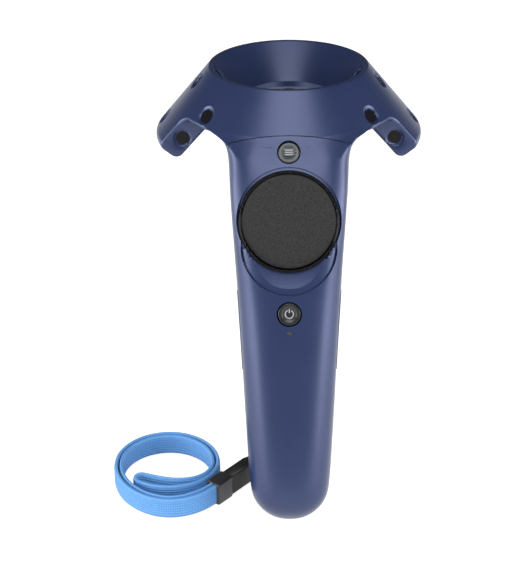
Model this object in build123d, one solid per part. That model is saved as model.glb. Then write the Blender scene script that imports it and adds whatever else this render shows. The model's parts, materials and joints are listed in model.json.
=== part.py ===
from build123d import *
import math
import os

# Motion controller wand, in millimetres. The wand is modelled upright in its own frame: z runs up the
# handle to the head, the pad faces -y, and the origin is the middle of the grip behind the system button.
# At the end every piece leans back together, so that +z is the normal of the surface that the strap lies on.

lean_angle = 20.0

# Head ring: a hollow ring about a tilted axis, with an outer slope, an inner funnel and a square hem.
ring_back = 35.0
ring_height = 103.0
ring_tilt = 15.0
lip_radius = 35.3
lip_flat = 1.6
lip_round = 0.75
flank_angle = 39.15
flank_length = 40.3
hem_thickness = 11.0
hem_round = 3.4
underside_length = 25.0
underside_round = 9.0
waist_radius = 20.0
waist_drop = 14.8
waist_land = 3.0
waist_flat = 2.3
waist_round = 0.5
end_face_front = 19.0
apron_drop = 18.8
apron_corner_round = 3.0
fold_round = 1.3
shell_wall = 2.0
cover_lap = 4.0
seam_gap = 0.3

# Sensor windows: a plug in a round hole, at the bottom of a shallow cone.
window_radius = 3.0
window_thickness = 1.3
dimple_radius = 4.7
dimple_depth = 0.9
board_side = 4.3
board_thickness = 0.6
flex_thickness = 0.25

# Handle: superellipse sections, whose places and sizes are shares of these.
handle_width = 53.6
handle_depth = 30.0
butt_drop = 94.8
butt_height = 17.0
neck_height = 69.6
neck_flare = 10.2
section_points = 28
seam_height = 75.5
seam_radius = 91.0
split_back = 1.0
split_gap = 0.16

# height, half width, front, back, front squareness and back squareness, from the neck down
handle_shares = [
    (1.000, 1.000, 0.593, 0.880, 3.2, 2.5),
    (0.852, 0.952, 0.800, 0.907, 3.8, 2.6),
    (0.566, 0.910, 0.993, 0.947, 5.4, 2.7),
    (0.171, 0.843, 1.027, 0.987, 3.8, 2.7),
    (-0.159, 0.784, 1.020, 1.013, 3.2, 2.7),
    (-0.484, 0.724, 0.993, 1.053, 2.9, 2.6),
    (-0.686, 0.684, 0.967, 1.067, 2.7, 2.5),
]
butt_shares = (0.649, 0.933, 1.053)
butt_square = 2.5
butt_angles = (0, 22, 42, 58, 70, 80)
# how far along the flare, how much of it is reached, and how closely its front follows the ring's slope
flare_shares = ((0.0, 1.0, 1.0), (0.28, 0.47, 1.0), (0.62, 0.14, 0.8))
neck_follow_share = 0.45
neck_stand = 0.25

# Touch pad, its black bezel and the scooped recess under it, on the handle's front.
pad_height = 39.3
pad_sink = 2.1
pad_tilt = 1.5
pad_radius = 20.2
pad_thickness = 2.0
pad_edge_round = 0.6
pad_travel = 0.4
touch_board_margin = 0.8
touch_board_thickness = 0.8
bezel_gap = 0.25
bezel_width = 1.15
bezel_depth = 4.8
bezel_sink = 0.35
well_wall = 1.2
well_lip = 0.9
relief_rise = 0.75
relief_radius = 22.4
relief_depth = 0.8
scoop_height = 28.3
scoop_radius = 20.6
scoop_depth = 3.2
scoop_front_share = 1.027
scoop_step = 0.9

# Round buttons on the front.
menu_height = 68.5
menu_front_share = 0.623
menu_tilt = 22.0
menu_radius = 4.45
menu_bar_length = 3.3
menu_bar_width = 0.62
menu_bar_pitch = 1.0
menu_board_side = 9.0
system_height = -0.2
system_front_share = 1.028
system_radius = 4.85
system_dish_radius = 9.0
system_dish_depth = 0.8
system_ring_radius = 1.75
system_ring_width = 0.45
system_gap_angle = 50.0
button_gap = 0.55
button_thickness = 2.4
button_flange = 0.9
button_flange_thickness = 0.7
button_edge_round = 0.5
button_travel = 0.5
button_slack = 0.1
icon_depth = 0.25
status_height = -8.3
status_radius = 0.85
status_length = 4.4
status_gap = 0.05

# Trigger on the back. Its outline is given from the pivot, in shares of its reach and its length.
trigger_width = 15.0
trigger_clearance = 0.6
trigger_pivot_back = 8.6
trigger_pivot_height = 52.0
trigger_hub_radius = 3.6
trigger_pin_radius = 1.25
trigger_running_gap = 0.05
trigger_pull_angle = 14.0
trigger_reach = 19.2
trigger_length = 26.0
trigger_bend = 20.0
trigger_outline_shares = [
    (0.276, 0.208, 0.16),
    (0.672, -0.058, 0.70),
    (0.938, -0.462, 0.70),
    (1.000, -0.923, 0.08),
    (0.781, -0.992, 0.08),
    (0.625, -0.712, 0.50),
    (0.313, -0.481, 0.90),
    (-0.104, -0.231, 0.15),
]
trigger_edge_round = 1.5
trigger_slot_share = 0.81
trigger_slot_top = 6.6
magnet_radius = 1.5
magnet_length = 1.6
magnet_back = 4.4
magnet_drop = 4.5
spring_wall = 0.9
spring_gap = 0.3
spring_length = 3.4
bracket_arm = 1.5
bracket_gap = 0.8
bracket_reach = 2.3
bracket_round = 2.0
bracket_rise = 6.0
bracket_base_drop = 18.5
bracket_base_sink = 5.6
bracket_base_thickness = 1.2
sensor_side = 3.0
sensor_thickness = 0.8
trigger_switch_width = 6.0
trigger_switch_height = 5.0
trigger_switch_drop = 14.0
trigger_switch_top = 9.7

# Grip buttons, on both sides.
grip_low = -27.0
grip_high = 8.0
grip_front = -6.5
grip_rear = 7.0
grip_narrowing = 2.0
grip_corner = 3.0
grip_gap = 0.35
grip_proud = 0.2
grip_sink = 10.6
grip_flange = 1.0
grip_flange_thickness = 1.0
grip_travel = 0.8
grip_switch_depth = 1.9
grip_switch_width = 5.0
grip_switch_height = 7.0
grip_switch_middle = -9.5

# Inside the handle: the main board and its frame, the battery, the haptic motor and the charging socket.
switch_side = 3.6
switch_height = 0.65
led_side = 2.0
board_sink = 6.0
main_board_thickness = 1.2
board_half_width = 11.5
board_low = -27.0
board_high = 60.0
shield_width = 15.0
shield_height = 2.2
shield_low = -16.0
shield_high = 8.0
frame_sink = 11.6
frame_thickness = 1.5
frame_half_width = 12.3
frame_low = -27.5
frame_high = 64.5
frame_ear_low = 56.5
frame_ear = 8.7
frame_post_radius = 1.2
frame_post_places_shares = ((0.85, 0.90), (0.85, -0.80))
screw_radius = 0.95
screw_bore_gap = 0.05
screw_hole_gap = 0.25
screw_head_radius = 1.9
screw_head_thickness = 1.2
screw_head_gap = 0.2
screw_bite = 6.5
boss_radius = 3.0
boss_shares = ((0.657, 0.649, 0.540), (0.336, -0.857, 0.730))
battery_half_width = 10.5
battery_thickness = 9.5
battery_low = -76.0
battery_high = -30.5
battery_round = 2.0
tray_thickness = 1.2
tray_margin = 1.5
tray_lip = 3.0
haptic_radius = 5.0
haptic_low = -24.0
haptic_high = -3.0
haptic_back = 4.6
holder_low = -20.0
holder_high = -7.0
holder_wall = 1.6
socket_width = 7.8
socket_depth = 3.0
socket_wall = 0.35
socket_low = -93.4
socket_high = -87.0
socket_back = -2.0
socket_gap = 0.35
socket_round = 1.2
tongue_width = 4.6
tongue_thickness = 0.8
charge_board_width = 11.4
charge_board_low = -90.0
charge_board_high = -80.0
charge_board_thickness = 0.8

# Strap anchor: a steel pin across a pocket in the butt's back.
anchor_back = 10.6
anchor_height = -86.6
anchor_radius = 0.8
anchor_pin_length = 9.0
anchor_block_width = 11.0
anchor_block_height = 9.0
anchor_block_front = 6.0
anchor_pocket_width = 5.2
anchor_pocket_height = 4.9
anchor_pocket_front = 8.0

# Windows in the head: the angle round the ring from its front, and the share of the surface above it.
slope_window_shares = [(50.7, 0.430), (86.0, 0.205), (92.0, 0.790), (126.0, 0.430), (141.0, 0.780), (158.0, 0.215)]
rear_window_share = 0.560
funnel_window_shares = [(88.0, 0.270), (30.0, 0.450)]
under_window_shares = [(105.0, 0.713), (145.0, 0.713)]
under_rear_share = 0.713
end_window_across = 46.6
end_window_drop = 27.7
window_gap = 0.05
cover_inset = 1.0
cover_hem = 4.5
cover_inner_radius = 22.9
cover_screw_angles = (100.0, 140.0, 180.0, 220.0, 260.0)
cover_screw_radius = 29.5
cover_screw_drop = 17.2
cover_screw_head = 1.0
cover_screw_length = 8.0
cover_boss_radius = 2.4
cover_boss_drop = 15.2
flex_width = 8.0
flex_gap = 0.4
flex_flank_shares = (0.13, 0.88)
flex_under_shares = (0.475, 0.88)
flex_tail_length = 30.0

# Strap, on the surface that the butt touches: x and y of the doubled band, and half its layers' spacing.
strap_width = 10.0
strap_thickness = 1.9
strap_rise = 0.6
strap_route = [
    (-29.7, -15.2, 1.2),
    (-36.2, -22.9, 1.2),
    (-42.2, -27.4, 1.2),
    (-49.4, -30.2, 1.2),
    (-57.2, -30.1, 1.2),
    (-64.6, -26.9, 1.2),
    (-71.2, -21.1, 1.2),
    (-75.8, -13.5, 1.2),
    (-77.8, -5.0, 1.2),
    (-77.0, 3.8, 1.2),
    (-73.0, 11.4, 1.2),
    (-66.6, 16.9, 1.2),
    (-58.6, 19.6, 1.2),
    (-50.2, 19.1, 1.2),
    (-42.6, 15.4, 1.2),
    (-36.8, 9.2, 1.2),
    (-33.7, 1.4, 1.2),
    (-33.9, -6.6, 1.2),
    (-37.6, -13.2, 1.4),
    (-44.0, -17.2, 2.0),
    (-51.4, -18.6, 2.8),
    (-58.6, -17.7, 3.4),
    (-64.2, -15.6, 3.3),
]
strap_fold = [(-69.2, -16.2), (-69.6, -12.9), (-66.9, -11.0)]
strap_axis_angle = 50.0
slider_mouth = (-34.4, -20.4)
slider_length = 9.8
slider_height = 11.4
slider_thickness = 7.0
slider_edge_round = 1.0
slot_thickness = 4.9
slot_height = 10.4
slot_depth = 8.0
sleeve_length = 26.0
sleeve_straight = 14.0
sleeve_height = 10.6
sleeve_thickness = 6.2
sleeve_tip_height = 5.2
sleeve_tip_thickness = 4.4
sleeve_edge_round = 1.2
sleeve_bore_depth = 6.0
sleeve_bore_gap = 0.1
lanyard_radius = 1.1
lanyard_route = [
    (-13.6, 4.4, -84.37),
    (-10.0, 8.7, -84.37),
    (-5.2, 12.8, -85.4),
    (0.6, 14.3, -87.0),
    (5.4, 11.6, -88.0),
    (6.8, 6.0, -88.2),
    (5.2, 0.2, -88.2),
    (2.6, -5.6, -87.9),
    (0.7, -11.6, -87.0),
    (0.0, -18.4, -85.2),
]

part_gap = 0.15
overrun = 60.0
mesh_tolerance = 0.02


def leaned(shape):
    """The shape as it stands at the end, leaning back about the grip."""
    return Rot(-lean_angle, 0, 0) * shape


def ring_frame():
    """The ring's own frame: its origin in the middle of the lip, z up the ring's axis, y to the back."""
    return Pos(0, ring_back, ring_height) * Rot(ring_tilt, 0, 0)


def along_flank(distance, depth):
    """Radius and drop of a point of the ring's section, given down the outer slope and in from it."""
    angle = math.radians(flank_angle)
    radius = lip_radius + distance * math.sin(angle) - depth * math.cos(angle)
    drop = distance * math.cos(angle) + depth * math.sin(angle)
    return radius, drop


def ring_section():
    hem_outer = along_flank(flank_length, 0)
    hem_inner = along_flank(flank_length, hem_thickness)
    knee = along_flank(flank_length - underside_length, hem_thickness)
    corners = [
        (lip_radius, 0, lip_round),
        (*hem_outer, hem_round),
        (*hem_inner, hem_round),
        (*knee, underside_round),
        (waist_radius + waist_flat, waist_drop + waist_land, waist_round),
        (waist_radius, waist_drop + waist_land, waist_round),
        (waist_radius, waist_drop, waist_round),
        (lip_radius - lip_flat, 0, lip_round),
    ]
    points = [(radius, 0, -drop) for radius, drop, bend in corners]
    return make_face(FilletPolyline(points, radius=[bend for radius, drop, bend in corners], close=True))


def notch(inset):
    """The room in front of the end faces and under the apron, in the ring's frame."""
    block = Box(4 * overrun, 2 * overrun, 2 * overrun, align=(Align.CENTER, Align.MAX, Align.MAX))
    inner_corner = block.edges().filter_by(Axis.X).group_by(Axis.Z)[-1].sort_by(Axis.Y)[-1]
    block = fillet(inner_corner, apron_corner_round + inset)
    return Pos(0, inset - end_face_front, inset - apron_drop) * block


def is_fold(edge):
    """The edges where the outer slope and the hem meet the end faces and the apron's underside."""
    middle = edge.center()
    on_face = abs(middle.Y + end_face_front) < apron_corner_round and abs(middle.X) > lip_radius + hem_round
    straight = edge.geom_type == GeomType.LINE
    on_apron = edge.geom_type == GeomType.CIRCLE and -middle.Y > lip_radius + hem_round
    return (on_face and not straight) or on_apron


def ring_form():
    """The ring's outer form, with its fold edges rounded."""
    ring = revolve(ring_section(), axis=Axis.Z) - notch(0)
    return fillet([edge for edge in ring.edges() if is_fold(edge)], fold_round)


def ring_room():
    """The hollow inside the ring's wall."""
    section = offset(ring_section(), amount=-shell_wall, kind=Kind.INTERSECTION)
    return revolve(section, axis=Axis.Z) - notch(shell_wall)


def slope_limit(inset):
    """Everything inside the outer slope, carried on below the hem."""
    top = along_flank(0, inset)
    low = along_flank(6 * overrun, inset)
    points = [(0, 0, -top[1]), (top[0], 0, -top[1]), (low[0], 0, -low[1]), (0, 0, -low[1])]
    return revolve(make_face(Polyline(points, close=True)), axis=Axis.Z)


def slope_reach(x, middle, front, inset):
    """How far a section may reach forward at x before it leaves the ring's outer slope, as a share."""
    lean, tilt = math.radians(flank_angle), math.radians(ring_tilt)
    low, high = 0, 2
    while high - low > 1 / section_points ** 3:
        share = (low + high) / 2
        y = middle[0] + share * (front[0] - middle[0]) - ring_back
        z = middle[1] + share * (front[1] - middle[1]) - ring_height
        forward = -y * math.cos(tilt) - z * math.sin(tilt)
        drop = y * math.sin(tilt) - z * math.cos(tilt)
        limit = lip_radius + neck_stand - inset + drop * math.tan(lean)
        low, high = (share, high) if math.hypot(x, forward) < limit else (low, share)
    return low


def handle_section(half_width, front, back, front_square, back_square, follow=0, inset=0):
    """A closed superellipse between two points of the middle plane, each given as y and z. Its front may
    follow the ring's outer slope, by a share."""
    middle = ((front[0] + back[0]) / 2, (front[1] + back[1]) / 2)
    points = []
    for step in range(section_points):
        angle = 2 * math.pi * step / section_points
        across, forward = math.cos(angle), math.sin(angle)
        square = front_square if forward > 0 else back_square
        x = half_width * math.copysign(abs(across) ** (2 / square), across)
        reach = math.copysign(abs(forward) ** (2 / square), forward)
        if follow > 0 and forward > 0:
            reach += follow * min(slope_reach(x, middle, front, inset) - reach, 0)
        y = middle[0] + reach * (front[0] - middle[0])
        z = middle[1] + reach * (front[1] - middle[1])
        points.append((x, y, z))
    return make_face(Spline(points, periodic=True))


def in_wand(front, drop):
    """y and z in the wand's frame of a point in front of the ring's axis and below its lip."""
    tilt = math.radians(ring_tilt)
    y = ring_back - front * math.cos(tilt) + drop * math.sin(tilt)
    z = ring_height - front * math.sin(tilt) - drop * math.cos(tilt)
    return y, z


def handle_form(inset):
    """The handle's outer form with its flared neck, or with an inset the room inside its wall."""
    half_width, half_depth = handle_width / 2 - inset, handle_depth / 2
    sections = []
    top_drop = apron_drop - shell_wall - 2 * inset
    top_radius = along_flank(top_drop / math.cos(math.radians(flank_angle)), 0)[0] + neck_stand - inset
    top_front = in_wand(top_radius, top_drop)
    top_back = in_wand(waist_radius + waist_flat + inset, top_drop)
    neck = handle_shares[0]
    neck_front = (-neck[2] * half_depth + inset, neck_height)
    neck_back = (neck[3] * half_depth - inset, neck_height)
    for along, flare, follow in flare_shares:
        front = [a + along * (b - a) for a, b in zip(top_front, neck_front)]
        back = [a + along * (b - a) for a, b in zip(top_back, neck_back)]
        sections.append((half_width + flare * neck_flare, front, back, neck[4], neck[5], follow, inset))
    for height, width, front, back, front_square, back_square in handle_shares:
        z = height * (neck_height if height > 0 else butt_drop)
        rear = (back * half_depth - inset, z)
        fore = (-front * half_depth + inset, z)
        follow = neck_follow_share if height == handle_shares[0][0] else 0
        sections.append((width * handle_width / 2 - inset, fore, rear, front_square, back_square, follow, inset))
    width, front, back = butt_shares
    for angle in butt_angles:
        z = -(butt_drop - butt_height) - (butt_height - inset) * math.sin(math.radians(angle))
        size = math.cos(math.radians(angle))
        rear = (size * (back * half_depth - inset), z)
        fore = (-size * (front * half_depth - inset), z)
        sections.append((size * (width * handle_width / 2 - inset), fore, rear, butt_square, butt_square))
    return loft([handle_section(*section) for section in sections])


def block(low, high):
    """A box between two opposite corners."""
    size = [b - a for a, b in zip(low, high)]
    middle = [(a + b) / 2 for a, b in zip(low, high)]
    return Pos(*middle) * Box(*size)


def rod_back(x, z, front, back, radius):
    """A cylinder that runs from front to back."""
    return Pos(x, (front + back) / 2, z) * Rot(90, 0, 0) * Cylinder(radius, back - front)


def rod_across(y, z, left, right, radius):
    """A cylinder that runs from left to right."""
    return Pos((left + right) / 2, y, z) * Rot(0, 90, 0) * Cylinder(radius, right - left)


def both_sides(shape):
    return [shape, mirror(shape, about=Plane.YZ)]


def joined(shapes):
    """All the shapes as one object, fused where they touch."""
    total = shapes[0]
    for shape in shapes[1:]:
        total = total + shape
    return total


def face_place(height, back, tilt):
    """A place on the front whose z points outward and whose y points up the handle."""
    return Pos(0, back, height) * Rot(90 - tilt, 0, 0)


def surface_place(angle, radius, drop, out, up):
    """A place on the ring whose z points out of the surface."""
    turn = math.radians(angle)
    radial = Vector(math.sin(turn), -math.cos(turn), 0)
    across = Vector(math.cos(turn), math.sin(turn), 0)
    origin = radial * radius - Vector(0, 0, drop)
    normal = radial * out + Vector(0, 0, up)
    return ring_frame() * Plane(origin=origin, x_dir=across, z_dir=normal).location


def mirrored_places(places):
    """The places given by angle, with those of the other side added."""
    return [(sign * angle, share) for angle, share in places for sign in (1, -1)]


def slope_places():
    lean = math.radians(flank_angle)
    places = []
    for angle, share in mirrored_places(slope_window_shares) + [(180, rear_window_share)]:
        radius, drop = along_flank(share * flank_length, 0)
        places.append(surface_place(angle, radius, drop, math.cos(lean), math.sin(lean)))
    return places


def funnel_places():
    across = lip_radius - lip_flat - waist_radius
    slant = math.hypot(across, waist_drop)
    places = []
    for angle, share in mirrored_places(funnel_window_shares):
        radius = lip_radius - lip_flat - share * across
        drop = share * waist_drop
        places.append(surface_place(angle, radius, drop, -waist_drop / slant, across / slant))
    return places


def under_places():
    lean = math.radians(flank_angle)
    places = []
    for angle, share in mirrored_places(under_window_shares) + [(180, under_rear_share)]:
        radius, drop = along_flank(share * flank_length, hem_thickness)
        places.append(surface_place(angle, radius, drop, -math.cos(lean), -math.sin(lean)))
    return places


def end_face_places():
    places = []
    for side in (1, -1):
        plane = Plane(origin=(side * end_window_across, -end_face_front, -end_window_drop), x_dir=(1, 0, 0),
                      z_dir=(0, -1, 0))
        places.append(ring_frame() * plane.location)
    return places


def window_hole():
    """A shallow cone in the surface, with a round hole behind it through the wall."""
    radius = window_radius + window_gap
    top = dimple_radius + (dimple_radius - radius)
    points = [
        (0, 0, dimple_depth),
        (top, 0, dimple_depth),
        (radius, 0, -dimple_depth),
        (radius, 0, -2 * shell_wall),
        (0, 0, -2 * shell_wall),
    ]
    return revolve(make_face(Polyline(points, close=True)), axis=Axis.Z)


def window_plug():
    return Pos(0, 0, -dimple_depth - window_thickness / 2) * Cylinder(window_radius, window_thickness)


def sensor_board():
    depth = dimple_depth + window_thickness + part_gap + board_thickness / 2
    return Pos(0, 0, -depth) * Box(board_side, board_side, board_thickness)


def handle_zone(gap):
    """The side of the seam that belongs to the handle."""
    limit = in_wand(waist_radius, apron_drop)[0]
    reach = seam_radius - gap
    barrel = Pos(0, 0, seam_height - seam_radius) * Rot(90, 0, 0) * Cylinder(reach, 4 * overrun)
    return barrel & block((-2 * overrun, -overrun, -3 * overrun), (2 * overrun, limit, 2 * overrun))


def cover_zone(gap):
    """The part of the ring's underside that the cover takes, behind its end faces."""
    inner = cover_inner_radius + gap
    depth = hem_thickness - shell_wall - cover_inset + gap
    far = flank_length - cover_hem - gap
    low = waist_drop + waist_land - shell_wall - cover_inset + gap
    near = along_flank(flank_length - underside_length, depth)
    outer = along_flank(far, depth)
    outside = along_flank(far, hem_thickness + shell_wall)
    points = [
        (inner, 0, -low),
        (near[0], 0, -near[1]),
        (outer[0], 0, -outer[1]),
        (outside[0], 0, -outside[1]),
        (inner, 0, -outside[1]),
    ]
    front = shell_wall - end_face_front + gap
    behind = block((-2 * overrun, front, -2 * overrun), (2 * overrun, 2 * overrun, 2 * overrun))
    return ring_frame() * (revolve(make_face(Polyline(points, close=True)), axis=Axis.Z) & behind)


def half_depth():
    return handle_depth / 2


def pad_front():
    return pad_sink - half_depth()


def scoop_ball(grow):
    """The ball whose surface is the scooped recess under the pad."""
    front = -scoop_front_share * half_depth()
    radius = (scoop_radius ** 2 + scoop_depth ** 2) / (2 * scoop_depth)
    return Pos(0, front + scoop_depth - radius, scoop_height) * Sphere(radius + grow)


def bezel_outer():
    return pad_radius + bezel_gap + bezel_width


def scoop_rim():
    """A step all round the recess, so that it ends in a crisp round line, also on the handle's sides."""
    round_cut = rod_back(0, scoop_height, -overrun, 0, scoop_radius) - handle_form(scoop_step)
    return round_cut - rod_back(0, pad_height, -2 * overrun, overrun, bezel_outer())


def pad_well():
    """A collar behind the front wall that the bezel sits in, with a lip under it."""
    back = bezel_depth - half_depth()
    hole = bezel_outer() + part_gap
    collar = rod_back(0, pad_height, -half_depth(), back + well_lip, hole + well_wall)
    return collar


def pad_hole():
    back = bezel_depth - half_depth()
    wide = rod_back(0, pad_height, -overrun, back, bezel_outer() + part_gap)
    return wide + rod_back(0, pad_height, -overrun, overrun / 6 - half_depth(), pad_radius + bezel_gap)


def pad_relief():
    """A shallow step above the bezel, widest at the pad's top."""
    return rod_back(0, pad_height + relief_rise, -overrun, 0, relief_radius) - handle_form(relief_depth)


def bezel():
    back = bezel_depth - half_depth()
    ring = rod_back(0, pad_height, -overrun, back, bezel_outer())
    ring = ring - rod_back(0, pad_height, -2 * overrun, 0, pad_radius + bezel_gap)
    return ring & handle_form(bezel_sink)


def touch_pad():
    top = (Align.CENTER, Align.CENTER, Align.MAX)
    disc = Cylinder(pad_radius, pad_thickness, align=top)
    disc = fillet(disc.edges().group_by(Axis.Z)[-1], pad_edge_round)
    return face_place(pad_height, pad_front(), pad_tilt) * disc


def touch_board():
    top = (Align.CENTER, Align.CENTER, Align.MAX)
    disc = Cylinder(pad_radius - touch_board_margin, touch_board_thickness, align=top)
    return face_place(pad_height, pad_front(), pad_tilt) * Pos(0, 0, -pad_thickness) * disc


def main_board_front():
    return board_sink - half_depth()


def pad_switch():
    front = main_board_front()
    side = switch_side / 2
    return block((-side, front - switch_height, pad_height - side), (side, front, pad_height + side))


def button_cap(radius):
    """A round cap with a flange behind the wall, its face at z = 0."""
    top = (Align.CENTER, Align.CENTER, Align.MAX)
    cap = Cylinder(radius, button_thickness, align=top)
    cap = fillet(cap.edges().group_by(Axis.Z)[-1], button_edge_round)
    flange = Cylinder(radius + button_flange, button_flange_thickness, align=top)
    return cap + Pos(0, 0, -button_thickness) * flange


def button_hole(place, radius):
    bottom = (Align.CENTER, Align.CENTER, Align.MIN)
    length = button_thickness + shell_wall
    hole = Pos(0, 0, -button_thickness) * Cylinder(radius + button_gap, length, align=bottom)
    seat_depth = button_switch_gap() - button_thickness + button_slack
    seat = Cylinder(radius + button_flange + button_gap, seat_depth, align=bottom)
    return place * (hole + Pos(0, 0, -button_switch_gap()) * seat)


def button_switch_gap():
    return button_thickness + button_flange_thickness + button_travel + button_slack


def menu_place():
    return face_place(menu_height, -menu_front_share * half_depth(), menu_tilt)


def menu_bars():
    """Three short bars, let into the cap."""
    low = (Align.CENTER, Align.CENTER, Align.MAX)
    bar = Box(menu_bar_length, menu_bar_width, icon_depth, align=low)
    bar = fillet(bar.edges().filter_by(Axis.Z), 0.4 * menu_bar_width)
    return [Pos(0, step * menu_bar_pitch, 0) * bar for step in (-1, 0, 1)]


def menu_pieces():
    bars = menu_bars()
    cap = button_cap(menu_radius)
    for bar in bars:
        cap = cap - bar
    board_depth = button_switch_gap() + switch_height
    low = (Align.CENTER, Align.CENTER, Align.MAX)
    board = Pos(0, 0, -board_depth) * Box(menu_board_side, menu_board_side, touch_board_thickness, align=low)
    switch = Pos(0, 0, -button_switch_gap()) * Box(switch_side, switch_side, switch_height, align=low)
    place = menu_place()
    return {
        "menu_button": place * cap,
        "menu_icon": [place * bar for bar in bars],
        "menu_board": place * board,
        "menu_switch": place * switch,
    }


def system_place():
    return face_place(system_height, -system_front_share * half_depth(), 0)


def dish_ball(grow):
    return Pos(0, 0, system_dish_radius - system_dish_depth) * Sphere(system_dish_radius + grow)


def power_ring():
    """An open ring with a short bar in its gap, as a prism through the cap."""
    length = button_thickness
    middle = (Align.CENTER, Align.CENTER, Align.CENTER)
    outer = Cylinder(system_ring_radius + system_ring_width / 2, length, align=middle)
    ring = outer - Cylinder(system_ring_radius - system_ring_width / 2, 2 * length, align=middle)
    reach = 2 * system_ring_radius
    half = reach * math.tan(math.radians(system_gap_angle / 2))
    wedge = make_face(Polyline((0, 0, -length), (half, reach, -length), (-half, reach, -length), close=True))
    ring = ring - extrude(wedge, 2 * length, dir=(0, 0, 1))
    bar_height = system_ring_radius
    bar = Pos(0, 0.85 * system_ring_radius, 0) * Box(system_ring_width, bar_height, length)
    return [ring, bar]


def system_pieces():
    dished = button_cap(system_radius) - dish_ball(0)
    layer = dished & dish_ball(icon_depth)
    icons = [prism & layer for prism in power_ring()]
    cap = dished
    for icon in icons:
        cap = cap - icon
    place = system_place()
    back = -system_front_share * half_depth() + button_switch_gap()
    side = switch_side / 2
    low, high = system_height - side, system_height + side
    return {
        "system_button": place * cap,
        "system_icon": [place * icon for icon in icons],
        "system_switch": block((-side, back, low), (side, main_board_front(), high)),
    }


def status_pieces():
    front = -system_front_share * half_depth()
    back = front + status_length
    pipe = rod_back(0, status_height, front - shell_wall, back, status_radius) & handle_form(0)
    side = led_side / 2
    led = block((-side, back, status_height - side), (side, main_board_front(), status_height + side))
    return {"status_light_pipe": pipe, "status_led": led}


def trigger_point(share):
    return (trigger_pivot_back + share[0] * trigger_reach, trigger_pivot_height + share[1] * trigger_length)


def trigger_blade():
    """The trigger's outline, from the pivot's hub to the tip, as thick as the trigger is wide."""
    half = trigger_width / 2
    points = [(-half, *trigger_point(share)) for share in trigger_outline_shares]
    bends = [share[2] * trigger_bend for share in trigger_outline_shares]
    outline = make_face(FilletPolyline(points, radius=bends, close=True))
    return extrude(outline, trigger_width, dir=(1, 0, 0))


def trigger():
    half = trigger_width / 2
    body = trigger_blade()
    sides = [edge for edge in body.edges() if abs(abs(edge.center().X) - half) < part_gap]
    outer = [edge for edge in sides if edge.center().Y > trigger_pivot_back + 0.6 * trigger_reach]
    body = fillet(outer, trigger_edge_round)
    body = body + rod_across(trigger_pivot_back, trigger_pivot_height, -half, half, trigger_hub_radius)
    bore = trigger_pin_radius + trigger_running_gap
    body = body - rod_across(trigger_pivot_back, trigger_pivot_height, -trigger_width, trigger_width, bore)
    pocket = bore + spring_gap + spring_wall + spring_gap
    body = body - rod_across(trigger_pivot_back, trigger_pivot_height, half - spring_length, trigger_width, pocket)
    return body - trigger_magnet()


def trigger_magnet():
    half = trigger_width / 2
    y, z = trigger_pivot_back + magnet_back, trigger_pivot_height - magnet_drop
    return rod_across(y, z, -half, magnet_length - half, magnet_radius)


def trigger_spring():
    half = trigger_width / 2
    inner = trigger_pin_radius + trigger_running_gap + spring_gap
    y, z = trigger_pivot_back, trigger_pivot_height
    sleeve = rod_across(y, z, half - spring_length + spring_gap, half + bracket_gap, inner + spring_wall)
    return sleeve - rod_across(y, z, 0, trigger_width, inner)


def bracket_half():
    return trigger_width / 2 + bracket_gap


def trigger_pin():
    half = bracket_half() + bracket_arm
    return rod_across(trigger_pivot_back, trigger_pivot_height, -half, half, trigger_pin_radius)


def frame_front():
    return frame_sink - half_depth()


def frame_back():
    return frame_front() + frame_thickness


def trigger_bracket():
    """Two arms that hold the trigger's pin, joined by a base behind the trigger."""
    inner = bracket_half()
    outer = inner + bracket_arm
    rear = trigger_pivot_back + bracket_reach
    low, high = trigger_pivot_height - bracket_rise - bracket_reach, trigger_pivot_height + bracket_rise
    arm = block((inner, frame_back(), low), (outer, rear, high))
    corners = arm.edges().filter_by(Axis.X).group_by(Axis.Y)[-1]
    arm = fillet(corners, bracket_round)
    base_front = trigger_pivot_back - bracket_base_sink
    base_low = trigger_pivot_height - bracket_base_drop
    base = block((-outer, base_front, base_low), (outer, base_front + bracket_base_thickness, high))
    bracket = joined(both_sides(arm) + [base])
    foot = block((inner, frame_back(), base_low), (outer, base_front + bracket_base_thickness, high))
    bracket = joined([bracket] + both_sides(foot))
    y, z = trigger_pivot_back, trigger_pivot_height
    return bracket - rod_across(y, z, -2 * outer, 2 * outer, trigger_pin_radius)


def trigger_sensor():
    outer = bracket_half() + bracket_arm
    y, z = trigger_pivot_back - sensor_side / 2, trigger_pivot_height - magnet_drop
    side = sensor_side / 2
    return block((-outer - sensor_thickness, y - side, z - side), (-outer, y + side, z + side))


def trigger_switch():
    front = trigger_pivot_back - bracket_base_sink + bracket_base_thickness
    half, low = trigger_switch_width / 2, trigger_pivot_height - trigger_switch_drop
    return block((-half, front, low - trigger_switch_height / 2), (half, trigger_switch_top, low + trigger_switch_height / 2))


def trigger_slot():
    half = trigger_width / 2 + trigger_clearance
    low = trigger_pivot_height - trigger_slot_share * trigger_length
    high = trigger_pivot_height + trigger_slot_top
    return block((-half, trigger_pivot_back, low), (half, overrun, high))


def grip_prism(grow, inner):
    """The grip button's outline, wider at the top, drawn out sideways on both sides."""
    low, high = grip_low - grow, grip_high + grow
    points = [
        (inner, grip_front - grow, high),
        (inner, grip_rear + grow, high),
        (inner, grip_rear - grip_narrowing + grow, low),
        (inner, grip_front + grip_narrowing - grow, low),
    ]
    outline = make_face(FilletPolyline(points, radius=grip_corner + grow, close=True))
    return outline


def grip_root():
    return handle_width / 2 - grip_sink


def grip_button():
    """The right grip button: a curved pad that follows the handle, with a flange inside the wall."""
    root = grip_root()
    pad = extrude(grip_prism(0, root), overrun, dir=(1, 0, 0)) & handle_form(-grip_proud)
    flange = extrude(grip_prism(grip_flange, root - grip_flange_thickness), grip_flange_thickness, dir=(1, 0, 0))
    return pad + flange


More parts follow.
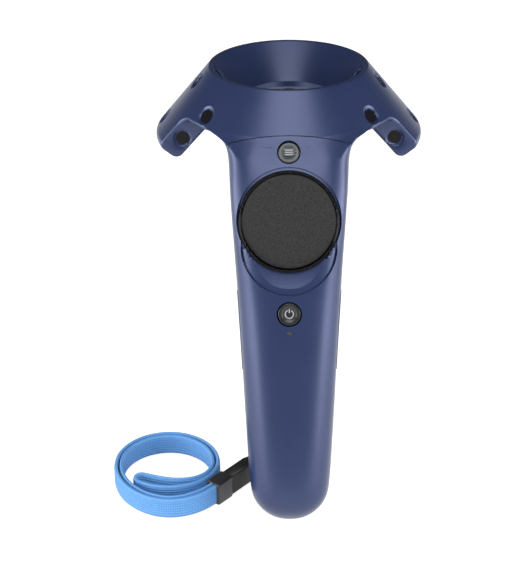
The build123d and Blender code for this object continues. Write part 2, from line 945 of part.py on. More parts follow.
def grip_hole():
    return extrude(grip_prism(grip_gap, grip_root()), overrun, dir=(1, 0, 0))


def grip_switch():
    back = grip_root() - grip_flange_thickness - grip_travel - button_slack
    half, rise = grip_switch_width / 2, grip_switch_height / 2
    low, high = grip_switch_middle - rise, grip_switch_middle + rise
    return block((back - grip_switch_depth, -half, low), (back, half, high))


def boss_places():
    """x, z and the y of the screw's seat, for the right side."""
    places = []
    for across, up, seat in boss_shares:
        places.append((across * handle_width / 2, up * butt_drop, seat * half_depth()))
    return places


def handle_bosses():
    """Posts in the handle that the screws join: front ones and back ones, which end within the wall."""
    form = handle_form(shell_wall / 2)
    fronts, backs = [], []
    for x, z, seat in boss_places():
        fronts += both_sides(rod_back(x, z, -overrun / 2, split_back, boss_radius) & form)
        backs += both_sides(rod_back(x, z, split_back + split_gap, overrun / 2, boss_radius) & form)
    return fronts + backs


def handle_screw_holes():
    holes = []
    for x, z, seat in boss_places():
        bore = rod_back(x, z, split_back - screw_bite - shell_wall, split_back + split_gap / 2, screw_radius - screw_bore_gap)
        hole = rod_back(x, z, split_back, overrun, screw_radius + screw_hole_gap)
        sink = rod_back(x, z, seat, overrun, screw_head_radius + screw_head_gap)
        for shape in (bore, hole, sink):
            holes += both_sides(shape)
    return holes


def handle_screws():
    screws = []
    for x, z, seat in boss_places():
        shank = rod_back(x, z, split_back - screw_bite, seat, screw_radius - screw_bore_gap)
        head = rod_back(x, z, seat, seat + screw_head_thickness, screw_head_radius)
        screws += both_sides(shank + head)
    return screws


def inner_frame():
    """The plate between the boards and the battery, with ears round the upper posts."""
    front, back = frame_front(), frame_back()
    half = frame_half_width
    plate = block((-half, front, frame_low), (half, back, frame_high))
    ears = block((-half - frame_ear, front, frame_ear_low), (half + frame_ear, back, frame_high))
    plate = plate + ears
    x, z, seat = boss_places()[0]
    for hole in both_sides(rod_back(x, z, -overrun, overrun, boss_radius + part_gap)):
        plate = plate - hole
    rear = main_board_front() + main_board_thickness
    for across, up in frame_post_places_shares:
        height = up * (board_high if up > 0 else -board_low)
        for post in both_sides(rod_back(across * board_half_width, height, rear, back, frame_post_radius)):
            plate = plate + post
    return plate


def main_board():
    front = main_board_front()
    half = board_half_width
    return block((-half, front, board_low), (half, front + main_board_thickness, board_high))


def shield_can():
    rear = main_board_front() + main_board_thickness
    half = shield_width / 2
    return block((-half, rear, shield_low), (half, rear + shield_height, shield_high))


def battery_front():
    return frame_back() - battery_thickness / 4


def battery_cell():
    front = battery_front()
    half = battery_half_width
    cell = block((-half, front, battery_low), (half, front + battery_thickness, battery_high))
    return fillet(cell.edges().filter_by(Axis.Z), battery_round)


def battery_tray():
    """A tray behind the battery, with a lip below it and one above."""
    rear = battery_front() + battery_thickness
    half = battery_half_width + tray_margin
    low, high = battery_low - tray_margin, battery_high + tray_margin
    tray = block((-half, rear, low), (half, rear + tray_thickness, high))
    for start, end in ((low, low + tray_thickness), (high - tray_thickness, high)):
        tray = tray + block((-half, rear - tray_lip, start), (half, rear + tray_thickness, end))
    return tray


def haptic_motor():
    middle = (haptic_low + haptic_high) / 2
    return Pos(0, haptic_back, middle) * Cylinder(haptic_radius, haptic_high - haptic_low)


def haptic_holder():
    half = haptic_radius + holder_wall
    body = block((-half, frame_back(), holder_low), (half, haptic_back + half, holder_high))
    hole = Pos(0, haptic_back, haptic_low) * Cylinder(haptic_radius + part_gap / 3, 2 * overrun)
    return body - hole


def charging_socket():
    """A flat metal shell with a tongue inside, open at the bottom."""
    half, deep = socket_width / 2, socket_depth / 2
    shell = block((-half, socket_back - deep, socket_low), (half, socket_back + deep, socket_high))
    shell = fillet(shell.edges().filter_by(Axis.Z), socket_round)
    wall = socket_wall
    hollow = block((wall - half, socket_back - deep + wall, socket_low - overrun),
                   (half - wall, socket_back + deep - wall, socket_high - wall))
    hollow = fillet(hollow.edges().filter_by(Axis.Z), socket_round - wall)
    shell = shell - hollow
    reach, thin = tongue_width / 2, tongue_thickness / 2
    tongue = block((-reach, socket_back - thin, socket_low + 2 * wall), (reach, socket_back + thin, socket_high))
    return shell + tongue


def socket_hole():
    half, deep = socket_width / 2 + socket_gap, socket_depth / 2 + socket_gap
    hole = block((-half, socket_back - deep, -2 * overrun), (half, socket_back + deep, socket_high))
    return fillet(hole.edges().filter_by(Axis.Z), socket_round + socket_gap)


def charging_board():
    front = socket_back + socket_depth / 2
    half = charge_board_width / 2
    return block((-half, front, charge_board_low), (half, front + charge_board_thickness, charge_board_high))


def anchor_block(form):
    half, rise = anchor_block_width / 2, anchor_block_height / 2
    low, high = anchor_height - rise, anchor_height + rise
    return block((-half, anchor_block_front, low), (half, overrun, high)) & form


def anchor_pocket():
    half, rise = anchor_pocket_width / 2, anchor_pocket_height / 2
    low, high = anchor_height - rise, anchor_height + rise
    return block((-half, anchor_pocket_front, low), (half, overrun, high))


def anchor_pin():
    half = anchor_pin_length / 2
    return rod_across(anchor_back, anchor_height, -half, half, anchor_radius)


def cover_bosses():
    """Posts under the ring's walls for the cover's screws."""
    ring = ring_form()
    posts = []
    for angle in cover_screw_angles:
        turn = math.radians(angle)
        x, y = cover_screw_radius * math.sin(turn), -cover_screw_radius * math.cos(turn)
        post = Cylinder(cover_boss_radius, cover_boss_drop, align=(Align.CENTER, Align.CENTER, Align.MIN))
        posts.append(ring_frame() * (Pos(x, y, -cover_boss_drop) * post & ring))
    return posts


def cover_screw_places():
    places = []
    for angle in cover_screw_angles:
        turn = math.radians(angle)
        x, y = cover_screw_radius * math.sin(turn), -cover_screw_radius * math.cos(turn)
        places.append(ring_frame() * Pos(x, y, -cover_screw_drop))
    return places


def cover_screw():
    up = (Align.CENTER, Align.CENTER, Align.MIN)
    down = (Align.CENTER, Align.CENTER, Align.MAX)
    shank = Cylinder(screw_radius - screw_bore_gap, cover_screw_length, align=up)
    return shank + Cylinder(screw_head_radius, cover_screw_head, align=down)


def cover_screw_bore():
    up = (Align.CENTER, Align.CENTER, Align.MIN)
    return Cylinder(screw_radius - screw_bore_gap, cover_screw_length + part_gap, align=up)


def cover_screw_hole():
    up = (Align.CENTER, Align.CENTER, Align.MIN)
    down = (Align.CENTER, Align.CENTER, Align.MAX)
    hole = Cylinder(screw_radius + screw_hole_gap, 2 * shell_wall, align=up)
    return hole + Cylinder(screw_head_radius + screw_head_gap, 2 * shell_wall, align=down)


def wand_forms():
    """The outer form and the room inside the wall."""
    ring = ring_frame() * ring_form()
    form = ring + (handle_form(0) & (ring_frame() * slope_limit(0)))
    inner = handle_form(shell_wall) & (ring_frame() * slope_limit(shell_wall))
    room = ring_frame() * ring_room() + inner
    return form, room


def shells():
    form, room = wand_forms()
    print("form", form.is_valid, len(form.solids()), "room", room.is_valid, len(room.solids()))
    room = room - (scoop_ball(shell_wall) & block((-overrun, -overrun, -overrun / 4), (overrun, 0, overrun)))
    shell = form - room
    well = pad_well() & form
    shell = joined([shell, well, anchor_block(form)] + handle_bosses() + cover_bosses())
    print("shell", shell.is_valid, len(shell.solids()))
    shell = shell - scoop_ball(0) - scoop_rim() - pad_hole() - pad_relief()
    shell = shell - button_hole(menu_place(), menu_radius) - button_hole(system_place(), system_radius)
    shell = shell - rod_back(0, status_height, -overrun, main_board_front(), status_radius + status_gap)
    shell = shell - trigger_slot() - socket_hole() - anchor_pocket() - anchor_pin()
    for hole in both_sides(grip_hole()):
        shell = shell - hole
    print("holes", shell.is_valid, len(shell.solids()))
    handle = shell & handle_zone(seam_gap)
    head = shell - handle_zone(0)
    for hole in handle_screw_holes():
        handle = handle - hole
    front = handle & block((-overrun, -overrun, -3 * overrun), (overrun, split_back, 2 * overrun))
    back = handle & block((-overrun, split_back + split_gap, -3 * overrun), (overrun, overrun, 2 * overrun))
    cutter = window_hole()
    for place in slope_places() + funnel_places() + end_face_places() + under_places():
        head = head - place * cutter
    cover = head & cover_zone(part_gap)
    head = head - cover_zone(0)
    for place in cover_screw_places():
        cover = cover - place * cover_screw_hole()
        head = head - place * cover_screw_bore()
    return {"head_shell": head, "head_under_cover": cover, "handle_front_shell": front, "handle_back_shell": back}


def ring_flex():
    """Thin bands behind the sensor boards, along the outer slope and along the underside."""
    depth = dimple_depth + window_thickness + part_gap + board_thickness + flex_gap
    bands = []
    for shares, front in ((flex_flank_shares, depth), (flex_under_shares, hem_thickness - depth - flex_thickness)):
        start, end = [share * flank_length for share in shares]
        a, b = along_flank(start, front), along_flank(end, front)
        c, d = along_flank(end, front + flex_thickness), along_flank(start, front + flex_thickness)
        outline = make_face(Polyline([(r, 0, -drop) for r, drop in (a, b, c, d)], close=True))
        band = revolve(outline, axis=Axis.Z) - notch(depth)
        bands.append(ring_frame() * band)
    return bands


def flex_tail():
    """A strip that leads from the head's circuit down behind the plate."""
    depth = dimple_depth + window_thickness + part_gap + board_thickness + flex_gap + flex_thickness
    start = along_flank(0.33 * flank_length, depth + part_gap)
    top = in_wand(*start)
    back = frame_back() + part_gap
    points = [top, (back, frame_high), (back, frame_high - flex_tail_length / 2)]
    route = [(-flex_width / 2, y, z) for y, z in points]
    rear = [(x, y + flex_thickness, z) for x, y, z in reversed(route)]
    outline = make_face(Polyline(route + rear, close=True))
    return extrude(outline, flex_width, dir=(1, 0, 0))


def floor_height(shapes):
    """The lowest point of the leaned shells, which the wand's butt rests on."""
    lowest = 0
    for shape in shapes:
        vertices, triangles = leaned(shape).tessellate(mesh_tolerance)
        lowest = min([lowest] + [vertex.Z for vertex in vertices])
    return lowest


def band_edges():
    """The two sides of the doubled band, as points offset from its middle route."""
    near, far = [], []
    points = [Vector(x, y, 0) for x, y, half in strap_route]
    for index, (x, y, half) in enumerate(strap_route):
        before = points[max(index - 1, 0)]
        after = points[min(index + 1, len(points) - 1)]
        along = (after - before).normalized()
        side = Vector(-along.Y, along.X, 0) * half
        near.append(points[index] + side)
        far.append(points[index] - side)
    return near, far


def band_route():
    """The band's own route, out along one side, round the fold, and back along the other."""
    near, far = band_edges()
    fold = [Vector(x, y, 0) for x, y in strap_fold]
    return near + fold + list(reversed(far))


def bend_radii(points, share):
    radii = []
    for before, here, after in zip(points, points[1:], points[2:]):
        turn = (here - before).get_angle(after - here)
        shorter = min((here - before).length, (after - here).length)
        radii.append(share * shorter / math.tan(math.radians(turn) / 2))
    return radii


def least_gap(route):
    """The least gap between two stretches of the band that aren't neighbours, measured on points."""
    count = int(route.length)
    points = [route @ (step / count) for step in range(count + 1)]
    apart = int(4 * strap_thickness)
    gaps = [(a - b).length for i, a in enumerate(points) for b in points[i + apart:]]
    return min(gaps) - strap_thickness


def strap(floor):
    points = band_route()
    radii = bend_radii(points, 0.45)
    print("strap radii", [round(radius, 1) for radius in radii])
    route = FilletPolyline([tuple(point) for point in points], radius=radii)
    print("strap length", round(route.length, 1), "least gap", round(least_gap(route), 2))
    section = Plane(origin=route @ 0, x_dir=(0, 0, 1), z_dir=route % 0) * Rectangle(strap_width, strap_thickness)
    band = sweep(section, path=route)
    print("strap volume share", round(band.volume / (strap_width * strap_thickness * route.length), 4))
    return Pos(0, 0, floor + strap_rise + strap_width / 2) * band


def on_strap(floor, along):
    """A place on the strap's middle height, whose x runs from the slider's mouth towards the sleeve."""
    turn = math.radians(strap_axis_angle)
    x = slider_mouth[0] + along * math.cos(turn)
    y = slider_mouth[1] + along * math.sin(turn)
    return Pos(x, y, floor + strap_rise + strap_width / 2) * Rot(0, 0, strap_axis_angle)


def strap_slider(floor):
    low = (Align.MIN, Align.CENTER, Align.CENTER)
    body = Box(slider_length, slider_thickness, slider_height, align=low)
    body = fillet(body.edges(), slider_edge_round)
    slot = Box(slot_depth, slot_thickness, slot_height, align=low)
    lift = max(slider_height - strap_width - 2 * strap_rise, 0) / 2
    return on_strap(floor, 0) * (Pos(0, 0, lift) * (body - slot))


def sleeve_section(along, height, thickness, corner):
    return Plane(origin=(along, 0, 0), x_dir=(0, 1, 0), z_dir=(1, 0, 0)) * RectangleRounded(thickness, height, corner)


def strap_sleeve(floor):
    """A moulded sleeve that tapers from the slider to the cord."""
    straight = extrude(sleeve_section(0, sleeve_height, sleeve_thickness, sleeve_edge_round), sleeve_straight)
    wide = sleeve_section(sleeve_straight, sleeve_height, sleeve_thickness, sleeve_edge_round)
    thin = sleeve_section(sleeve_length, sleeve_tip_height, sleeve_tip_thickness, sleeve_edge_round)
    body = straight + loft([wide, thin])
    bore = Pos(sleeve_length, 0, 0) * Rot(0, 90, 0) * Cylinder(lanyard_radius + sleeve_bore_gap, 2 * sleeve_bore_depth)
    return on_strap(floor, slider_length) * (body - bore)


def lanyard_cord():
    points = [Vector(*point) for point in lanyard_route]
    radii = bend_radii(points, 0.45)
    print("lanyard radii", [round(radius, 1) for radius in radii])
    route = FilletPolyline(lanyard_route, radius=radii)
    print("lanyard length", round(route.length, 1))
    section = Plane(origin=route @ 0, z_dir=route % 0) * Circle(lanyard_radius)
    cord = sweep(section, path=route)
    print("lanyard volume share", round(cord.volume / (math.pi * lanyard_radius ** 2 * route.length), 4))
    return cord


def wand_pieces():
    """Every piece of the wand, by name, before it leans back."""
    pieces = shells()
    plug, board = window_plug(), sensor_board()
    pieces["slope_windows"] = [place * plug for place in slope_places()]
    pieces["funnel_windows"] = [place * plug for place in funnel_places()]
    pieces["end_face_windows"] = [place * plug for place in end_face_places()]
    pieces["underside_windows"] = [place * plug for place in under_places()]
    everywhere = slope_places() + funnel_places() + end_face_places() + under_places()
    pieces["sensor_boards"] = [place * board for place in everywhere]
    pieces["ring_flex_circuit"] = ring_flex()
    pieces["flex_tail"] = flex_tail()
    pieces["cover_screws"] = [place * cover_screw() for place in cover_screw_places()]
    pieces["touch_pad"] = touch_pad()
    pieces["touch_board"] = touch_board()
    pieces["pad_bezel"] = bezel()
    pieces["pad_switch"] = pad_switch()
    pieces.update(menu_pieces())
    pieces.update(system_pieces())
    pieces.update(status_pieces())
    pieces["trigger"] = trigger()
    pieces["trigger_magnet"] = trigger_magnet()
    pieces["trigger_pin"] = trigger_pin()
    pieces["trigger_bracket"] = trigger_bracket()
    pieces["trigger_spring"] = trigger_spring()
    pieces["trigger_sensor"] = trigger_sensor()
    pieces["trigger_switch"] = trigger_switch()
    right, left = both_sides(grip_button())
    pieces["right_grip_button"] = right
    pieces["left_grip_button"] = left
    pieces["grip_switches"] = both_sides(grip_switch())
    pieces["inner_frame"] = inner_frame()
    pieces["main_board"] = main_board()
    pieces["shield_can"] = shield_can()
    pieces["battery_cell"] = battery_cell()
    pieces["battery_tray"] = battery_tray()
    pieces["haptic_motor"] = haptic_motor()
    pieces["haptic_holder"] = haptic_holder()
    pieces["charging_socket"] = charging_socket()
    pieces["charging_board"] = charging_board()
    pieces["handle_screws"] = handle_screws()
    pieces["strap_anchor_pin"] = anchor_pin()
    return pieces


def strap_pieces(floor):
    """The strap and what is on it, as they lie on the surface."""
    print("floor", round(floor, 3))
    return {
        "strap": strap(floor),
        "strap_slider": strap_slider(floor),
        "strap_sleeve": strap_sleeve(floor),
        "lanyard_cord": lanyard_cord(),
    }


def as_one(shape):
    """A list of solids as one compound, ready to write."""
    return Compound(children=[solid for item in shape for solid in item.solids()]) if isinstance(shape, list) else shape


def main():
    os.makedirs("parts", exist_ok=True)
    pieces = wand_pieces()
    floor = floor_height([pieces["handle_front_shell"], pieces["handle_back_shell"]])
    finished = {name: leaned(as_one(shape)) for name, shape in pieces.items()}
    finished.update(strap_pieces(floor))
    for name, shape in finished.items():
        export_step(shape, f"parts/{name}.step")


if __name__ == "__main__":
    main()
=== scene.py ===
# %% [markdown]
# # A motion controller wand
# The real object is a hand-held pointer for a games system. Its body is moulded plastic in two long halves
# with a separate head. The head is a tilted ring whose faces carry small dark windows, and behind each
# window sits a light sensor, so the ring has to face many ways at once. A round touch pad, two buttons, a
# trigger and two grip buttons sit where a hand reaches them, and a woven wrist strap hangs from the foot.
#
# The shape could be modelled again here, but the CAD model already has it to a fraction of a millimetre. So
# this script loads the CAD model, leaves every mesh of it alone, and dresses it with finishes, smooth copies,
# fabric and light.

# %% Load the model
import json
import math
import bpy
from mathutils import Matrix, Vector
from mathutils.bvhtree import BVHTree
from mathutils.interpolate import poly_3d_calc

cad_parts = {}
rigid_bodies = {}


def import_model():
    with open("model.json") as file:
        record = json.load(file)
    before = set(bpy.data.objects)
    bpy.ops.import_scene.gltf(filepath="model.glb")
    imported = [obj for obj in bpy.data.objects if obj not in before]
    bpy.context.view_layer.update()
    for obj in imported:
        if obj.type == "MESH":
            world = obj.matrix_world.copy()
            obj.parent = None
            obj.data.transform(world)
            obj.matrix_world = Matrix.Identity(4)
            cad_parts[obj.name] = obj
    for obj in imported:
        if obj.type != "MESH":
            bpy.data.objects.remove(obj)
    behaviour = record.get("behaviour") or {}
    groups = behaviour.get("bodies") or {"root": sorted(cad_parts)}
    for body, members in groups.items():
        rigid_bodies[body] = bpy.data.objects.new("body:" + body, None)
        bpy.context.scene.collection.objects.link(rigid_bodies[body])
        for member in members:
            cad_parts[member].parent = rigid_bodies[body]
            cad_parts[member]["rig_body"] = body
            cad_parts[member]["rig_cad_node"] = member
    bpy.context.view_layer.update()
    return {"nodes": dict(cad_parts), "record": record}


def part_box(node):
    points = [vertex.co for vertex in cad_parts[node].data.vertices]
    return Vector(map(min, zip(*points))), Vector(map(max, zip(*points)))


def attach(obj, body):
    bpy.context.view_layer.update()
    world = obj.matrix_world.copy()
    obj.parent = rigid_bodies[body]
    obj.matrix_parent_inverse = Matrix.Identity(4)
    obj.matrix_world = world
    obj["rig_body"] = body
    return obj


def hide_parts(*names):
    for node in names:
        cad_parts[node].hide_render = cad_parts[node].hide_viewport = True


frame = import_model()
nodes = frame["nodes"]
body_of = {node: body for body, members in frame["record"]["behaviour"]["bodies"].items() for node in members}
slot_of = {item["node"]: item["material_slot"] for item in frame["record"]["subparts"]}

# %% [markdown]
# ## The camera
# The photograph was taken from straight in front, about thirty degrees above the surface, with a long lens,
# so that the wand is hardly narrowed by distance. Turning the camera to make room for the strap would slant
# the wand's upright lines. The lens shift moves the picture sideways without turning anything, so it is used
# instead. The wand leans to the left by a fifth of a degree in the picture, so the camera is rolled by as
# much.

# %% Camera
look_down, roll = math.radians(30), math.radians(-0.18)
camera_place = Vector((0, -0.7057, 0.4209))
sensor_width = 36
photo_width_pixels, lens_pixels, shift_pixels = 527, 1893.5, -25.7
camera_data = bpy.data.cameras.new("camera")
camera = bpy.data.objects.new("camera", camera_data)
bpy.context.scene.collection.objects.link(camera)
camera.location = camera_place
aim = Matrix.Rotation(math.radians(90) - look_down, 3, "X") @ Matrix.Rotation(roll, 3, "Z")
camera.rotation_euler = aim.to_euler()
camera_data.sensor_fit = "HORIZONTAL"
camera_data.sensor_width = sensor_width
camera_data.lens = sensor_width * lens_pixels / photo_width_pixels
camera_data.shift_x = shift_pixels / photo_width_pixels
bpy.context.scene.camera = camera
print("lens", round(camera_data.lens, 1))

# %% [markdown]
# ## The wrist strap's route
# The strap is one flat woven band, ten millimetres wide, folded back on itself. Two layers run side by side,
# standing on edge, and part a little at the far end to make the loop's tip. A simulation could lay it down,
# but it would not lie as it does in the photograph. A smooth spline that is steered by listed points
# does, and its plain CAD solid has the same points, so both follow one line. Each point is given in
# millimetres, with the distance of the two layers from the middle line.

# %% Strap route
mm_per_metre = 1000
strap_rise = 0.0006
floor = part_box("strap")[0].z - strap_rise
strap_width = 0.010
strap_thickness = 0.0019
strap_middle = floor + strap_rise + strap_width / 2
strap_route = [
    (-29.7, -15.2, 1.2), (-36.2, -22.9, 1.2), (-42.2, -27.4, 1.2), (-49.4, -30.2, 1.2), (-57.2, -30.1, 1.2),
    (-64.6, -26.9, 1.2), (-71.2, -21.1, 1.2), (-75.8, -13.5, 1.2), (-77.8, -5.0, 1.2), (-77.0, 3.8, 1.2),
    (-73.0, 11.4, 1.2), (-66.6, 16.9, 1.2), (-58.6, 19.6, 1.2), (-50.2, 19.1, 1.2), (-42.6, 15.4, 1.2),
    (-36.8, 9.2, 1.2), (-33.7, 1.4, 1.2), (-33.9, -6.6, 1.2), (-37.6, -13.2, 1.4), (-44.0, -17.2, 2.0),
    (-51.4, -18.6, 2.8), (-58.6, -17.7, 3.4), (-64.2, -15.6, 3.3),
]
strap_fold = [(-69.2, -16.2), (-69.6, -12.9), (-66.9, -11.0)]
strap_tip = (-68.6, -13.9)
band_step, middle_step = 0.0005, 0.002


def millimetres(x, y, z=0):
    """A point given in millimetres, as one in metres."""
    return Vector((x, y, z)) / mm_per_metre


middle_line = [millimetres(x, y) for x, y, spread in strap_route]
near_side, far_side = [], []
for index, (x, y, spread) in enumerate(strap_route):
    before = middle_line[max(index - 1, 0)]
    after = middle_line[min(index + 1, len(middle_line) - 1)]
    along = (after - before).normalized()
    aside = Vector((-along.y, along.x, 0)) * spread / mm_per_metre
    near_side.append(middle_line[index] + aside)
    far_side.append(middle_line[index] - aside)
band_line = near_side + [millimetres(*point) for point in strap_fold] + far_side[::-1]
middle_line.append(millimetres(*strap_tip))


# %% Curves and even steps
def nurbs_curve(name, points, height):
    """A smooth open spline through control points, lifted to one height."""
    curve = bpy.data.curves.new(name, "CURVE")
    curve.dimensions = "3D"
    curve.resolution_u = 16
    spline = curve.splines.new("NURBS")
    spline.points.add(len(points) - 1)
    for control, point in zip(spline.points, points):
        control.co = (point.x, point.y, point.z + height, 1)
    spline.order_u = 3
    spline.use_endpoint_u = True
    obj = bpy.data.objects.new(name, curve)
    bpy.context.scene.collection.objects.link(obj)
    return obj


def points_along(curve_object):
    """The points that Blender gives for the curve's line."""
    mesh = bpy.data.meshes.new_from_object(curve_object)
    line = [vertex.co.copy() for vertex in mesh.vertices]
    bpy.data.meshes.remove(mesh)
    return line


def evenly(line, step):
    """The same line as points one step apart."""
    total = sum((b - a).length for a, b in zip(line, line[1:]))
    count = max(2, round(total / step))
    places, walked, target = [line[0].copy()], 0.0, total / count
    for a, b in zip(line, line[1:]):
        length = (b - a).length
        while length > 0 and walked + length >= target * len(places) and len(places) < count:
            places.append(a.lerp(b, (target * len(places) - walked) / length))
        walked += length
    places.append(line[-1].copy())
    return places


# %% Strap length
band_curve = nurbs_curve("band_route", band_line, strap_middle)
middle_curve = nurbs_curve("strap_middle_route", middle_line, strap_middle)
band_places = evenly(points_along(band_curve), band_step)
middle_places = evenly(points_along(middle_curve), middle_step)
bpy.data.objects.remove(band_curve)
bpy.data.objects.remove(middle_curve)
strap_length = sum((b - a).length for a, b in zip(middle_places, middle_places[1:]))
print("doubled band", round(strap_length, 4), "band", round(band_step * len(band_places), 3))

# %% [markdown]
# ## The woven band
# The band is knitted with ribs along its length and soft round edges. A displacement map could raise the
# ribs, but they shape the band's outline where it bends, so they are drawn into the section. The section is
# carried along the route, with a texture map that counts centimetres along the band and round the section.
# The stitches are far finer, so they are left to the finish.

# %% Band section
rib_count, rib_height = 6, 0.00016
half_width, half_thickness = strap_width / 2, strap_thickness / 2
steps_per_rib, rounding_steps = 6, 6
map_scale = 100


def band_section():
    """Points round the section, as across and up, with the ribs on both faces."""
    points = []
    flat = half_width - half_thickness
    steps = rib_count * steps_per_rib
    for side in (1, -1):
        for step in range(steps + 1):
            height = side * flat * (2 * step / steps - 1)
            wave = math.cos(2 * math.pi * rib_count * step / steps)
            across = half_thickness - rib_height * (0.5 + 0.5 * wave)
            points.append((side * across, height))
        for step in range(1, rounding_steps):
            angle = math.pi * step / rounding_steps
            reach = half_thickness - rib_height
            points.append((side * reach * math.cos(angle), side * (flat + half_thickness * math.sin(angle))))
    return points


# %% A section carried along a line
def ribbon(name, line, section):
    """Carries a closed section along a level line."""
    verts, faces, uvs = [], [], []
    ring = len(section)
    around = [0.0]
    for a, b in zip(section, section[1:] + section[:1]):
        around.append(around[-1] + math.hypot(b[0] - a[0], b[1] - a[1]))
    walked = [0.0]
    for a, b in zip(line, line[1:]):
        walked.append(walked[-1] + (b - a).length)
    for index, point in enumerate(line):
        before, after = line[max(index - 1, 0)], line[min(index + 1, len(line) - 1)]
        along = (after - before).normalized()
        aside = Vector((-along.y, along.x, 0))
        for across, height in section:
            verts.append(point + aside * across + Vector((0, 0, height)))
    for index in range(len(line) - 1):
        for place in range(ring):
            following = (place + 1) % ring
            a, b = index * ring + place, index * ring + following
            faces.append((a, b, b + ring, a + ring))
            near, far = walked[index] * map_scale, walked[index + 1] * map_scale
            low, high = around[place] * map_scale, around[place + 1] * map_scale
            uvs += [(near, low), (near, high), (far, high), (far, low)]
    for end in (0, len(line) - 1):
        loop = [end * ring + place for place in range(ring)]
        faces.append(loop if end else loop[::-1])
        uvs += [(0, 0)] * ring
    mesh = bpy.data.meshes.new(name)
    mesh.from_pydata(verts, [], faces)
    layer = mesh.uv_layers.new(name="weave")
    for loop, uv in zip(layer.data, uvs):
        loop.uv = uv
    obj = bpy.data.objects.new(name, mesh)
    bpy.context.scene.collection.objects.link(obj)
    return obj


# %% Active piece
def deselect_all():
    for obj in bpy.context.selected_objects:
        obj.select_set(False)


def activate(obj):
    deselect_all()
    obj.select_set(True)
    bpy.context.view_layer.objects.active = obj


def outward(obj):
    """Turns every face of a closed piece outwards."""
    activate(obj)
    bpy.ops.object.mode_set(mode="EDIT")
    bpy.ops.mesh.select_all(action="SELECT")
    bpy.ops.mesh.normals_make_consistent(inside=False)
    bpy.ops.object.mode_set(mode="OBJECT")


# %% Strap band
strap_band = ribbon("strap_band", band_places, band_section())
outward(strap_band)
activate(strap_band)
bpy.ops.object.shade_smooth()
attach(strap_band, "wand_body")
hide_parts("strap")
print("strap band", len(strap_band.data.polygons), "faces")

# %% [markdown]
# ## The thin cord
# A thin black braided cord joins the strap's sleeve to a steel pin in the handle's foot. It leaves the foot
# at the back, where the handle hides it, and runs round to the sleeve on the surface. A bevelled curve keeps
# it round at any bend, and its points can still be moved. The bevel is one metre deep, and the radius of
# each point brings it down to the cord's own. With a thin bevel and the usual radius of one, the cord looks
# the same, but the box that Blender measures round it grows by a metre each way.

# %% Thin cord
lanyard_route = [
    (-13.6, 4.4, -84.37), (-10.0, 8.7, -84.37), (-5.2, 12.8, -85.4), (0.6, 14.3, -87.0), (5.4, 11.6, -88.0),
    (6.8, 6.0, -88.2), (5.2, 0.2, -88.2), (2.6, -5.6, -87.9), (0.7, -11.6, -87.0), (0.0, -18.4, -85.2),
]
lanyard_diameter = 0.0022
lanyard_points = [millimetres(*point) for point in lanyard_route[::-1]]
lanyard = nurbs_curve("lanyard", lanyard_points, 0)
lanyard.data.bevel_depth = 1.0
for control in lanyard.data.splines[0].points:
    control.radius = lanyard_diameter / 2
lanyard.data.bevel_resolution = 6
lanyard.data.use_fill_caps = True
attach(lanyard, "wand_body")
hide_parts("lanyard_cord")

# %% [markdown]
# ## Writing finishes as sums
# Every finish below is a small recipe of shader nodes, not a picture, so it stays sharp at any distance.
# Wired one by one, such recipes grow long and hard to read. So one function makes any node in one line. A
# small class holds a socket and turns the signs of arithmetic into Math nodes, and a second class holds a
# material while it is made.


# %% Shader sums
def feed(tree, slot, item):
    """Gives a socket a link from a sum, or else a plain value."""
    if isinstance(item, Value):
        tree.links.new(item.socket, slot)
    else:
        slot.default_value = item


def add_node(tree, kind, settings=(), sockets=(), output=0):
    """Any node: its settings first, then the values or links of its sockets."""
    made = tree.nodes.new(kind)
    for name, value in dict(settings).items():
        setattr(made, name, value)
    for name, value in dict(sockets).items():
        feed(tree, made.inputs[name], value)
    return Value(tree, made.outputs[output])


class Value:
    """One socket of a node tree, which can be used in sums."""

    def __init__(self, tree, socket):
        self.tree, self.socket = tree, socket

    def math(self, operation, *others, swapped=False):
        terms = (*others, self) if swapped else (self, *others)
        return add_node(self.tree, "ShaderNodeMath", {"operation": operation}, enumerate(terms))

    def __add__(self, other):
        return self.math("ADD", other)

    __radd__ = __add__

    def __mul__(self, other):
        return self.math("MULTIPLY", other)

    __rmul__ = __mul__

    def __sub__(self, other):
        return self.math("SUBTRACT", other)

    def __rsub__(self, other):
        return self.math("SUBTRACT", other, swapped=True)

    def sine(self):
        return self.math("SINE")

    def clamped(self):
        made = self.math("ADD", 0.0)
        made.socket.node.use_clamp = True
        return made

    def outputs(self):
        """All the outputs of the node that this value comes from, by name."""
        return {output.name: Value(self.tree, output) for output in self.socket.node.outputs}


